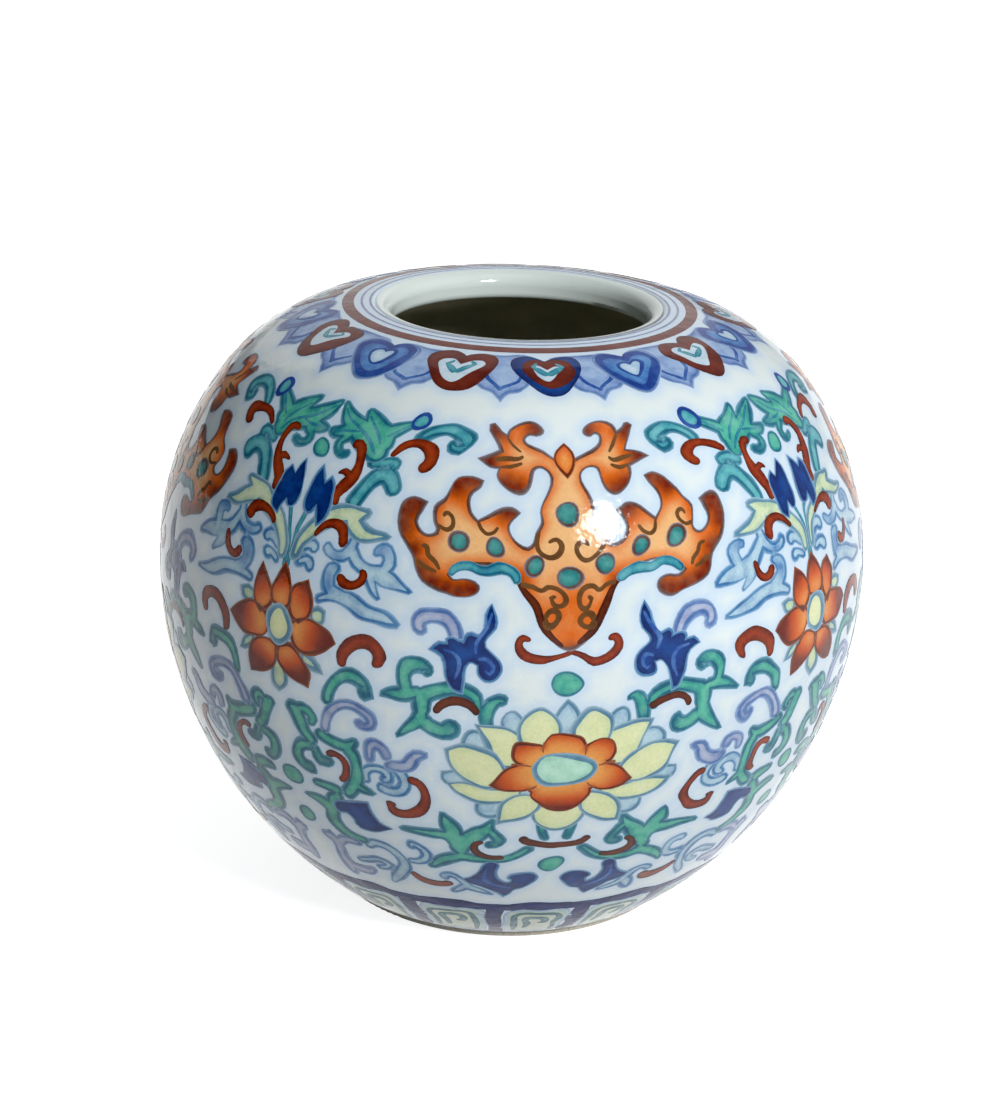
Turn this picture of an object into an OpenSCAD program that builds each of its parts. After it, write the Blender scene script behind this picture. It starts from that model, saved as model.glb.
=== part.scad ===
// Porcelain water coupe: a small apple-shaped jar that holds water for a writing desk.
// It is thrown in two halves that are luted together at the belly, with a turned foot ring
// and a thick mouth ring, and it is coated in clear glaze inside and out.
// Sizes are in millimetres. The origin is the centre of the resting face, and Z points up.

/* [Overall] */
// Diameter across the belly
belly_d = 92; // [80:1:112]
// Height from the resting face to the crest of the lip
height = 78.4; // [65:0.1:94.5]
// Height of the widest line, where the two halves are luted together
belly_h = 45; // [38:0.5:54]
// Slope, rise over run, of the radius on which the belly's arc meets the shoulder's arc
shoulder_slope = 0.75; // [0.6:0.01:0.95]

/* [Wall] */
// Thickness of the porcelain wall
wall_t = 2.8; // [2.4:0.1:3.6]
// Thickness of a coat of glaze
glaze_t = 0.4; // [0.3:0.05:0.5]
// Thickness of the band of slip that joins the two halves
seam_t = 0.8; // [0.5:0.1:1.2]

/* [Mouth] */
// Clear diameter of the mouth
mouth_d = 32.8; // [27:0.1:40]
// Width of the mouth ring, from the clear mouth to its joint with the shoulder
rim_w = 4.7; // [3.5:0.1:6]
// Radius of the lip's rounded top edge
lip_round = 1.8; // [1:0.1:2.2]
// Radius of the lip's rounded lower edge
lip_under_round = 0.8; // [0.6:0.1:1]

/* [Foot] */
// Outside diameter of the foot ring
foot_d = 46.8; // [39:0.1:57]
// Width of the foot ring
foot_w = 3.4; // [2.6:0.1:4.4]
// Height of the foot ring below the body
foot_h = 1; // [0.8:0.1:1.6]
// Radius of the foot ring's worn lower edges
foot_round = 0.4; // [0.2:0.1:0.5]
// How far the glazed body overhangs the foot ring
foot_overhang = 0.6; // [0.3:0.1:1]
// Height of the recessed base above the resting face
base_h = 2.2; // [1.8:0.1:2.8]
// Thickness of the floor
floor_t = 3; // [2.4:0.1:3.8]
// Radius between the floor and the wall inside
floor_round = 7.9; // [5:0.1:10]

/* [Hidden] */
$fn = 128;

porcelain_white = "#E9EDEA";
biscuit = "#D9CDBB";
slip_grey = "#D8D6CE";
glaze_white = "#E4EDF0";

belly_r = belly_d / 2;
mouth_r = mouth_d / 2;
foot_r = foot_d / 2;
crest_r = mouth_r + lip_round;
rim_joint_r = mouth_r + rim_w;
recess_r = foot_r - foot_w;
// Depths below the finished outer surface: the inside of the porcelain, and the finished inside
inside_porcelain = glaze_t + wall_t;
inside_glaze = inside_porcelain + glaze_t;
// Well past every outline, for half planes and sectors
beyond = 400;

// Upper outline: two arcs, upright at the belly and level at the crest of the lip, that meet smoothly
// on a common radius of the given slope. Their radii follow from the run and the rise.
run = belly_r - crest_r;
rise = height - belly_h;
meet_x = 1 / sqrt(1 + shoulder_slope ^ 2);
meet_y = shoulder_slope * meet_x;
meet = [meet_x, meet_y];
balance = meet_x + meet_y - 1;
belly_arc_r = (meet_x * rise - (1 - meet_y) * run) / balance;
shoulder_arc_r = (meet_y * run - (1 - meet_x) * rise) / balance;
belly_c = [belly_r - belly_arc_r, belly_h];
shoulder_c = [crest_r, height - shoulder_arc_r];

// Lower outline: one arc, upright at the belly, that meets the overhang above the foot ring
foot_top = [foot_r + foot_overhang, foot_h];
lower_run = belly_r - foot_top.x;
lower_arc_r = (lower_run ^ 2 + (belly_h - foot_h) ^ 2) / (2 * lower_run);
lower_c = [belly_r - lower_arc_r, belly_h];

// Round between the floor and the wall, tangent to both on the finished inside
floor_z = base_h + floor_t + glaze_t;
floor_round_z = floor_z + floor_round;
inner_lower_r = lower_arc_r - inside_glaze;
floor_round_x = lower_c.x + sqrt((inner_lower_r - floor_round) ^ 2 - (belly_h - floor_round_z) ^ 2);
floor_c = [floor_round_x, floor_round_z];

// Part of the plane around c, between two directions less than a half turn apart
module sector(c, from, to) {
  polygon([c, c + beyond * from, c + beyond * to]);
}

module disc(c, r) {
  translate(c) circle(r);
}

// Part of the plane between two radii and two heights
module zone(r0, z0, r1, z1) {
  translate([r0, z0]) square([r1 - r0, z1 - z0]);
}

// Half outline above the belly, set in from the finished surface by depth
module upper_half(depth) {
  intersection() {
    union() {
      intersection() {
        disc(belly_c, belly_arc_r - depth);
        sector(belly_c, [1, 0], meet);
      }
      intersection() {
        disc(shoulder_c, shoulder_arc_r - depth);
        sector(shoulder_c, meet, [0, 1]);
      }
      zone(0, belly_h, crest_r, height - depth);
    }
    zone(0, belly_h, beyond, beyond);
  }
}

// Half outline from the foot joint to the belly, set in by depth
module lower_half(depth) {
  intersection() {
    disc(lower_c, lower_arc_r - depth);
    zone(0, foot_h, beyond, belly_h);
  }
}

// Half outline of the whole body without its hollow, set in by depth
module outer(depth) {
  upper_half(depth);
  lower_half(depth);
}

// Half outline of the hollow, set in by depth, with its rounded floor
module cavity(depth) {
  rise_to_depth = inside_glaze - depth;
  upper_half(depth);
  intersection() {
    union() {
      intersection() {
        disc(lower_c, lower_arc_r - depth);
        sector(lower_c, floor_c - lower_c, [1, 0]);
      }
      disc(floor_c, floor_round + rise_to_depth);
      zone(0, floor_z - rise_to_depth, floor_c.x, belly_h);
    }
    zone(0, 0, beyond, belly_h);
  }
}

// Everything outside the mouth, with the lip's rounded edges, set in by depth
module outside_mouth(depth) {
  under_z = height - inside_glaze + lip_under_round;
  lip_z = height - lip_round;
  disc([crest_r, lip_z], lip_round - depth);
  disc([mouth_r + lip_under_round, under_z], lip_under_round - depth);
  zone(mouth_r + depth, under_z, crest_r, lip_z);
  zone(mouth_r + lip_under_round, under_z - lip_under_round + depth, crest_r, lip_z);
  zone(crest_r, 0, beyond, beyond);
  zone(0, 0, beyond, belly_h);
}

// Half section of the porcelain, before it is parted into its luted pieces
module porcelain() {
  difference() {
    intersection() {
      outer(glaze_t);
      outside_mouth(glaze_t);
    }
    cavity(inside_porcelain);
    zone(0, 0, recess_r, base_h);
  }
}

// Half section of the coat outside, from the foot joint to the crest of the lip
module outer_coat() {
  difference() {
    intersection() {
      outer(0);
      zone(crest_r, 0, beyond, beyond);
    }
    outer(glaze_t);
  }
}

// Half section of the coat inside, from the crest of the lip round to the floor
module inner_coat() {
  difference() {
    intersection() {
      outer(0);
      outside_mouth(0);
      union() {
        cavity(inside_porcelain);
        zone(0, belly_h, crest_r, beyond);
      }
    }
    porcelain();
    cavity(inside_glaze);
  }
}

// Turned ring that the jar stands on, left bare of glaze
module foot_ring() {
  color(biscuit) rotate_extrude() {
    zone(recess_r, foot_round, foot_r, foot_h);
    zone(recess_r + foot_round, 0, foot_r - foot_round, foot_h);
    disc([recess_r + foot_round, foot_round], foot_round);
    disc([foot_r - foot_round, foot_round], foot_round);
  }
}

// Thrown lower half, with the floor and the turned recess of the base
module lower_body() {
  color(porcelain_white) rotate_extrude() intersection() {
    porcelain();
    zone(0, 0, beyond, belly_h - seam_t / 2);
  }
}

// Band of slip between the rims of the two halves
module luting_seam() {
  color(slip_grey) rotate_extrude() intersection() {
    porcelain();
    zone(0, belly_h - seam_t / 2, beyond, belly_h + seam_t / 2);
  }
}

// Thrown upper half, from the belly to the joint of the mouth ring
module upper_body() {
  color(porcelain_white) rotate_extrude() intersection() {
    porcelain();
    zone(rim_joint_r, belly_h + seam_t / 2, beyond, beyond);
  }
}

// Thick ring with the rounded lip of the mouth
module mouth_rim() {
  color(porcelain_white) rotate_extrude() intersection() {
    porcelain();
    zone(0, belly_h + seam_t / 2, rim_joint_r, beyond);
  }
}

// Clear coat from the edge above the foot ring to the crest of the lip
module outer_glaze() {
  color(glaze_white) rotate_extrude() outer_coat();
}

// Clear coat from the crest of the lip down through the hollow
module inner_glaze() {
  color(glaze_white) rotate_extrude() inner_coat();
}

// Clear coat on the recessed base
module base_glaze() {
  color(glaze_white) rotate_extrude() zone(0, base_h - glaze_t, recess_r, base_h);
}

foot_ring();
lower_body();
luting_seam();
upper_body();
mouth_rim();
outer_glaze();
inner_glaze();
base_glaze();
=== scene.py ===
"""Looks of the porcelain water coupe: glaze, painted enamels, studio and camera.

The painted pattern is drawn flat, in millimetres: x runs round the wall from a motif's axis and y is the
arc length up the wall from the foot joint. Each shape becomes a thin closed film laid on the glaze.
"""
import logging
import math
from collections.abc import Callable, Sequence
from dataclasses import dataclass, field
from enum import Enum

import bmesh
import bpy
from mathutils import Matrix, Vector, noise
from mathutils.geometry import delaunay_2d_cdt, interpolate_bezier
from mathutils.kdtree import KDTree


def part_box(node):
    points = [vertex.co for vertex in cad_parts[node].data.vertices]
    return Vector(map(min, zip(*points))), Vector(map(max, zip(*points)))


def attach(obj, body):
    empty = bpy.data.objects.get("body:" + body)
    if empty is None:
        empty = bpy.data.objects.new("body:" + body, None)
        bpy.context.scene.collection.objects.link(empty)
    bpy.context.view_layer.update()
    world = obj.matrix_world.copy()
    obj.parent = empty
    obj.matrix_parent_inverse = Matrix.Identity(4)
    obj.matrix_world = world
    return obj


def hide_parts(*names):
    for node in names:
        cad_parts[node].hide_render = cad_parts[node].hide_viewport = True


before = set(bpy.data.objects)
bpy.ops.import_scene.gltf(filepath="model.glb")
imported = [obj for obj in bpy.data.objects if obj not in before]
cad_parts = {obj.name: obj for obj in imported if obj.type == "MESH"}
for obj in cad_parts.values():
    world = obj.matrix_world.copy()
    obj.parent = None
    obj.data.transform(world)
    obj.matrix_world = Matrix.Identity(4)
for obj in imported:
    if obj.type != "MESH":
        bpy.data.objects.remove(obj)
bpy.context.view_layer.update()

MM = 0.001
BODY = "root"

Knot = tuple[float, ...]
Shape = Sequence[Knot]
Shade = Callable[[float, float], float]
log = logging.getLogger("coupe")


def linear(hex_colour: str) -> tuple[float, float, float, float]:
    """Turns an sRGB hex colour into a linear RGBA value.

    Args:
        hex_colour: six hex digits after a hash sign.

    Returns:
        Linear red, green, blue and an alpha of one.
    """
    parts = [int(hex_colour[i:i + 2], 16) / 255 for i in (1, 3, 5)]
    red, green, blue = (c / 12.92 if c <= 0.04045 else ((c + 0.055) / 1.055) ** 2.4 for c in parts)
    return red, green, blue, 1.0


def add_node(
    tree: bpy.types.NodeTree, kind: str, inputs: dict[str | int, object] | None = None, **settings: object
) -> bpy.types.Node:
    """Adds one node, sets its properties and fills or links its inputs.

    Args:
        tree: the node tree that gets the node.
        kind: the node's type name.
        inputs: for each input's name or number, a value or the output socket that feeds it.
        settings: properties of the node itself.

    Returns:
        The new node.
    """
    node = tree.nodes.new(kind)
    for name, value in settings.items():
        setattr(node, name, value)
    for key, value in (inputs or {}).items():
        if isinstance(value, bpy.types.NodeSocket):
            tree.links.new(value, node.inputs[key])
        else:
            node.inputs[key].default_value = value
    return node


def empty_material(name: str) -> tuple[bpy.types.Material, bpy.types.NodeTree]:
    """Makes a node material with nothing in it.

    Args:
        name: the material's name.

    Returns:
        The material and its empty node tree.
    """
    material = bpy.data.materials.new(name)
    material.use_nodes = True
    material.node_tree.nodes.clear()
    return material, material.node_tree


# Waviness of the fired glaze: width and depth of a wave, in millimetres
RIPPLE_MM = 3.2
RIPPLE_DEPTH = 0.25


def ripple(tree: bpy.types.NodeTree, place: bpy.types.Node) -> bpy.types.NodeSocket:
    """Adds the fired glaze's faint waviness, which runs on under and over the painting.

    Args:
        tree: the material's node tree.
        place: its texture coordinate node.

    Returns:
        The wavy normal.
    """
    wave = add_node(
        tree, "ShaderNodeTexNoise",
        {"Vector": place.outputs["Object"], "Scale": 1 / (RIPPLE_MM * MM), "Detail": 3.5,
         "Roughness": 0.55})
    bump = add_node(
        tree, "ShaderNodeBump",
        {"Height": wave.outputs["Fac"], "Strength": 0.55, "Distance": RIPPLE_DEPTH * MM})
    return bump.outputs["Normal"]


# Places of the Mix node's colour inputs and output
MIX_A, MIX_B, MIX_OUT = 6, 7, 2

# Size of an enamel's fine grain, drawn coarse enough to show, and how far it darkens and lightens
GRAIN_MM = 0.35
GRAIN_DARK, GRAIN_LIGHT = 0.94, 1.05

# Values of the brush's cloudy noise between which the wash turns thin, and between which it pools
THIN_START, THIN_END = 0.42, 0.72
POOL_START, POOL_END = 0.5, 0.3


@dataclass(frozen=True)
class Enamel:
    """A painted colour fired into the glaze: a wash, thin or pooled at its edge, under one even gloss.

    Attributes:
        name: the material's and the piece's name.
        core: colour in the middle of the wash.
        edge: colour where the wash ends.
        deep: colour where the shape's tone is full, such as a petal's tip.
        soft_mm: distance over which the edge colour turns into the core colour.
        cloud: how far the wash varies towards its thin colour.
        cloud_mm: size of the brush's cloudy patches.
        thin: colour of the wash where the brush was nearly dry.
        pool: how far the wash varies towards its deep colour where it gathered.
        roughness: how far the fired gloss is from a mirror.
        gloss: share of light that the gloss throws back, where a half is plain glass.
    """

    name: str
    core: str
    edge: str
    deep: str
    soft_mm: float = 0.8
    cloud: float = 0.35
    cloud_mm: float = 2.2
    thin: str = "#D9E6EC"
    pool: float = 0.35
    roughness: float = 0.11
    gloss: float = 0.2

    def material(self) -> bpy.types.Material:
        """Builds the enamel's node material.

        Returns:
            The material. It reads the films' edge and tone values.
        """
        material, tree = empty_material(self.name)
        edge = add_node(tree, "ShaderNodeAttribute", attribute_name="edge")
        tone = add_node(tree, "ShaderNodeAttribute", attribute_name="tone")
        place = add_node(tree, "ShaderNodeTexCoord")
        cloud = add_node(
            tree, "ShaderNodeTexNoise",
            {"Vector": place.outputs["Object"], "Scale": 1 / (self.cloud_mm * MM), "Detail": 3.0,
             "Roughness": 0.6})
        grain = add_node(
            tree, "ShaderNodeTexNoise",
            {"Vector": place.outputs["Object"], "Scale": 1 / (GRAIN_MM * MM), "Detail": 1.0})
        thinness = add_node(
            tree, "ShaderNodeMapRange",
            {"Value": cloud.outputs["Fac"], "From Min": THIN_START, "From Max": THIN_END,
             "To Max": self.cloud})
        pooling = add_node(
            tree, "ShaderNodeMapRange",
            {"Value": cloud.outputs["Fac"], "From Min": POOL_START, "From Max": POOL_END,
             "To Max": self.pool})
        depth = add_node(
            tree, "ShaderNodeMapRange",
            {"Value": grain.outputs["Fac"], "From Min": 0.25, "From Max": 0.75, "To Min": GRAIN_DARK,
             "To Max": GRAIN_LIGHT})
        colour = add_node(
            tree, "ShaderNodeMix",
            {"Factor": edge.outputs["Fac"], MIX_A: linear(self.edge), MIX_B: linear(self.core)},
            data_type="RGBA")
        coats = (
            (tone.outputs["Fac"], self.deep), (thinness.outputs["Result"], self.thin),
            (pooling.outputs["Result"], self.deep))
        for share, coat in coats:
            colour = add_node(
                tree, "ShaderNodeMix",
                {"Factor": share, MIX_A: colour.outputs[MIX_OUT], MIX_B: linear(coat)}, data_type="RGBA")
        grained = add_node(
            tree, "ShaderNodeMix",
            {"Factor": 1.0, MIX_A: colour.outputs[MIX_OUT], MIX_B: depth.outputs["Result"]},
            data_type="RGBA", blend_type="MULTIPLY")
        shader = add_node(
            tree, "ShaderNodeBsdfPrincipled",
            {"Base Color": grained.outputs[MIX_OUT], "Roughness": self.roughness, "IOR": 1.5,
             "Specular IOR Level": self.gloss, "Normal": ripple(tree, place)})
        add_node(tree, "ShaderNodeOutputMaterial", {"Surface": shader.outputs["BSDF"]})
        return material


class Paint(Enum):
    """Colours on the painter's palette."""

    BAT = Enamel(
        "orange_bat_enamel", "#EAB87E", "#D8640E", "#660A00", soft_mm=1.3, cloud=0.09, thin="#EAC494",
        pool=0.03)
    BAT_SCROLL = Enamel("brown_bat_scrolls", "#5E3A1C", "#6E4A26", "#3A1404", cloud=0.15, thin="#8C6A3C")
    JEWEL = Enamel(
        "teal_jewel_dots", "#3A928E", "#1C646C", "#1C5C6C", soft_mm=0.8, cloud=0.35, thin="#84C4BE")
    RED = Enamel(
        "iron_red_scrolls", "#96300C", "#480C02", "#300A04", soft_mm=0.5, cloud=0.3, thin="#B45420")
    DARK_RED = Enamel(
        "red_brown_arcs", "#64260E", "#3A1206", "#2A0A04", soft_mm=0.5, cloud=0.25, thin="#8C4A24")
    COBALT = Enamel(
        "cobalt_leaves", "#033A88", "#011858", "#010C3C", soft_mm=1.4, cloud=0.3, thin="#1C62AC")
    GREEN = Enamel("green_leaves", "#4CB49A", "#148088", "#0E5478", soft_mm=0.65, cloud=0.4, thin="#94D0BC")
    TEAL = Enamel("teal_scrolls", "#54B0B4", "#127490", "#124884", soft_mm=0.65, cloud=0.4, thin="#98CCD8")
    LAVENDER = Enamel(
        "lavender_scrolls", "#AEB8D2", "#7C90BC", "#4460A0", soft_mm=0.6, cloud=0.3, thin="#CCD6E6")
    PALE = Enamel(
        "pale_blue_leaves", "#AECEDC", "#76A4CC", "#2C62A8", soft_mm=0.6, cloud=0.35, thin="#D0E4EC")
    SPROUT = Enamel("yellow_green_leaves", "#CCDCB0", "#90B8A4", "#5C94A0", soft_mm=0.6, cloud=0.3)
    YELLOW = Enamel(
        "yellow_lotus_petals", "#E2E8B2", "#C4D8AE", "#98BCA4", soft_mm=1.0, cloud=0.3, thin="#E6ECD8",
        pool=0.12)
    PETAL = Enamel(
        "orange_lotus_petals", "#EBA050", "#CC500E", "#6C0C00", soft_mm=0.8, cloud=0.08, thin="#E09C58",
        pool=0.08)
    MINT = Enamel("mint_lotus_centres", "#B8E6D0", "#92CEBA", "#74B09C", soft_mm=1.0, cloud=0.25)
    SLATE_LINE = Enamel("slate_blue_outlines", "#5484A0", "#A0BECE", "#3A6C90", cloud=0.35, thin="#8CB0C8")
    BLUE_LINE = Enamel("violet_blue_outlines", "#5276AE", "#A0B8DA", "#244C94", cloud=0.35, thin="#94B0D4")
    FROND_LINE = Enamel("cobalt_blue_outlines", "#3A74A8", "#98BCDA", "#184890", cloud=0.35, thin="#7CACCC")
    TEAL_LINE = Enamel("teal_outlines", "#14627C", "#6CA8BC", "#0E4868", cloud=0.35, thin="#5CA0B0")
    BROWN_LINE = Enamel("brown_outlines", "#5C1C08", "#A05A34", "#340E04", cloud=0.25, thin="#8C5C40")
    INDIGO = Enamel(
        "indigo_foot_band", "#14246C", "#101C5A", "#0A1244", soft_mm=0.8, cloud=0.3, thin="#4458A0",
        gloss=0.05)
    HEART_WHITE = Enamel("white_heart_fields", "#C8DCE8", "#8CB8DC", "#6CA0D4", soft_mm=0.9, cloud=0.1)
    HEART_BLUE = Enamel(
        "blue_heart_washes", "#4C88C8", "#1C4A9C", "#143880", soft_mm=1.5, cloud=0.35, thin="#8CBCE4")
    HEART_PETAL = Enamel(
        "blue_collar_petals", "#94B0D8", "#5A7CBE", "#3C60A8", soft_mm=1.3, cloud=0.35, thin="#C4D8EC")
    HEART_LINE = Enamel("navy_heart_outlines", "#123A8C", "#1C4694", "#0A2468", cloud=0.35, thin="#4C7CC0")
    UMBER_LINE = Enamel("umber_bat_outlines", "#5C3C30", "#8E8C9C", "#3A1E0C", cloud=0.4, thin="#847C80")
    LAPPET = Enamel("pale_lappet_fields", "#D2DCBC", "#A8C8C4", "#7CA8B0", soft_mm=1.6, cloud=0.3)
    GREY_TEAL = Enamel(
        "grey_teal_lappet_keys", "#6C98A2", "#38707E", "#285C70", soft_mm=0.6, cloud=0.3, gloss=0.05)
    RIM_RED = Enamel("iron_red_mouth_ring", "#641A08", "#521004", "#300A04", cloud=0.3, thin="#843E20")
    RIM_LINE = Enamel("lilac_mouth_lines", "#7C88B0", "#7C88B0", "#5C6CA0", cloud=0.4, thin="#B0BCD4")


@dataclass(frozen=True)
class Porcelain:
    """Fired clay under the coat: dense, white and slightly dull where it is bare.

    Attributes:
        name: the material's name.
        clay: main colour.
        fleck: colour of fine grains in the clay.
        grit_mm: size of the grains, drawn coarse enough to show.
        roughness: how dull the bare surface is.
        pit_mm: depth of the grains' pits.
    """

    name: str
    clay: str
    fleck: str
    grit_mm: float
    roughness: float
    pit_mm: float = 0.05

    def material(self) -> bpy.types.Material:
        """Builds the clay's node material.

        Returns:
            The material.
        """
        material, tree = empty_material(self.name)
        place = add_node(tree, "ShaderNodeTexCoord")
        grit = add_node(
            tree, "ShaderNodeTexNoise",
            {"Vector": place.outputs["Object"], "Scale": 1 / (self.grit_mm * MM), "Detail": 4.0})
        share = add_node(
            tree, "ShaderNodeMapRange", {"Value": grit.outputs["Fac"], "From Min": 0.45, "From Max": 0.7})
        colour = add_node(
            tree, "ShaderNodeMix",
            {"Factor": share.outputs["Result"], MIX_A: linear(self.clay), MIX_B: linear(self.fleck)},
            data_type="RGBA")
        bump = add_node(
            tree, "ShaderNodeBump",
            {"Height": grit.outputs["Fac"], "Strength": 0.3, "Distance": self.pit_mm * MM})
        shader = add_node(
            tree, "ShaderNodeBsdfPrincipled",
            {"Base Color": colour.outputs[MIX_OUT], "Roughness": self.roughness,
             "Normal": bump.outputs["Normal"]})
        add_node(tree, "ShaderNodeOutputMaterial", {"Surface": shader.outputs["BSDF"]})
        return material


@dataclass(frozen=True)
class ClearGlaze:
    """Clear glaze on white porcelain: a wet gloss, a faint blue-green body and a bleed round the painting.

    Attributes:
        name: the material's name.
        ground: colour of the bare ground.
        pool: colour where the glaze lies a little thicker.
        bleed: colour of the ground close to painted lines.
        pool_mm: size of the thicker patches.
        roughness: how far the gloss is from a mirror.
    """

    name: str
    ground: str
    pool: str
    bleed: str
    pool_mm: float = 16.0
    roughness: float = 0.1

    def material(self) -> bpy.types.Material:
        """Builds the glaze's node material.

        Returns:
            The material.
        """
        material, tree = empty_material(self.name)
        place = add_node(tree, "ShaderNodeTexCoord")
        halo = add_node(tree, "ShaderNodeAttribute", attribute_name="halo")
        drift = add_node(
            tree, "ShaderNodeTexNoise",
            {"Vector": place.outputs["Object"], "Scale": 1 / (self.pool_mm * MM), "Detail": 2.0})
        pooled = add_node(
            tree, "ShaderNodeMix",
            {"Factor": drift.outputs["Fac"], MIX_A: linear(self.ground), MIX_B: linear(self.pool)},
            data_type="RGBA")
        bled = add_node(
            tree, "ShaderNodeMix",
            {"Factor": halo.outputs["Fac"], MIX_A: pooled.outputs[MIX_OUT], MIX_B: linear(self.bleed)},
            data_type="RGBA")
        shader = add_node(
            tree, "ShaderNodeBsdfPrincipled",
            {"Base Color": bled.outputs[MIX_OUT], "Roughness": self.roughness, "IOR": 1.5,
             "Normal": ripple(tree, place)})
        add_node(tree, "ShaderNodeOutputMaterial", {"Surface": shader.outputs["BSDF"]})
        return material


@dataclass(frozen=True)
class HollowGlazeWithPaintedShade:
    """Glaze of the lip and the inside: a wet pale lip over a darker, streaky olive inside, which is painted
    shade.

    Attributes:
        name: the material's name.
        lip: colour of the lip.
        inside_shade: painted shade, the darker olive colour of the inside below the lip.
        lip_mm: height at which the lip's colour turns into the painted shade of the inside.
        soft_mm: height over which it does, each way.
        streak_mm: size of the streaks that vary the painted shade inside.
        roughness: how far the gloss is from a mirror.
    """

    name: str
    lip: str
    inside_shade: str
    lip_mm: float
    soft_mm: float = 0.15
    streak_mm: float = 9.0
    roughness: float = 0.08

    def material(self) -> bpy.types.Material:
        """Builds the glaze's node material.

        Returns:
            The material.
        """
        material, tree = empty_material(self.name)
        place = add_node(tree, "ShaderNodeTexCoord")
        axes = add_node(tree, "ShaderNodeSeparateXYZ", {"Vector": place.outputs["Object"]})
        share = add_node(
            tree, "ShaderNodeMapRange",
            {"Value": axes.outputs["Z"], "From Min": (self.lip_mm - self.soft_mm) * MM,
             "From Max": (self.lip_mm + self.soft_mm) * MM})
        streak = add_node(
            tree, "ShaderNodeTexNoise",
            {"Vector": place.outputs["Object"], "Scale": 1 / (self.streak_mm * MM), "Detail": 2.0})
        depth = add_node(
            tree, "ShaderNodeMapRange",
            {"Value": streak.outputs["Fac"], "From Min": 0.3, "From Max": 0.7, "To Min": 0.8,
             "To Max": 1.25})
        # painted shade: below the lip the inside takes a darker olive colour, streaked by noise
        inside = add_node(
            tree, "ShaderNodeMix",
            {"Factor": 1.0, MIX_A: linear(self.inside_shade), MIX_B: depth.outputs["Result"]},
            data_type="RGBA", blend_type="MULTIPLY")
        colour = add_node(
            tree, "ShaderNodeMix",
            {"Factor": share.outputs["Result"], MIX_A: inside.outputs[MIX_OUT], MIX_B: linear(self.lip)},
            data_type="RGBA")
        shader = add_node(
            tree, "ShaderNodeBsdfPrincipled",
            {"Base Color": colour.outputs[MIX_OUT], "Roughness": self.roughness, "IOR": 1.5})
        add_node(tree, "ShaderNodeOutputMaterial", {"Surface": shader.outputs["BSDF"]})
        return material


@dataclass(frozen=True)
class Arc:
    """Part of a circle in the half section, between two directions in radians.

    Attributes:
        x: radius of the centre from the axis, in millimetres.
        z: height of the centre.
        radius: radius of the arc.
        start: direction of its first point.
        end: direction of its last point.
    """

    x: float
    z: float
    radius: float
    start: float
    end: float

    @property
    def length(self) -> float:
        """Length along the arc."""
        return self.radius * abs(self.end - self.start)

    def point(self, share: float) -> Vector:
        """A point of the half section at a share of the arc."""
        angle = self.start + (self.end - self.start) * share
        return Vector((self.x + self.radius * math.cos(angle), self.z + self.radius * math.sin(angle)))


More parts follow.
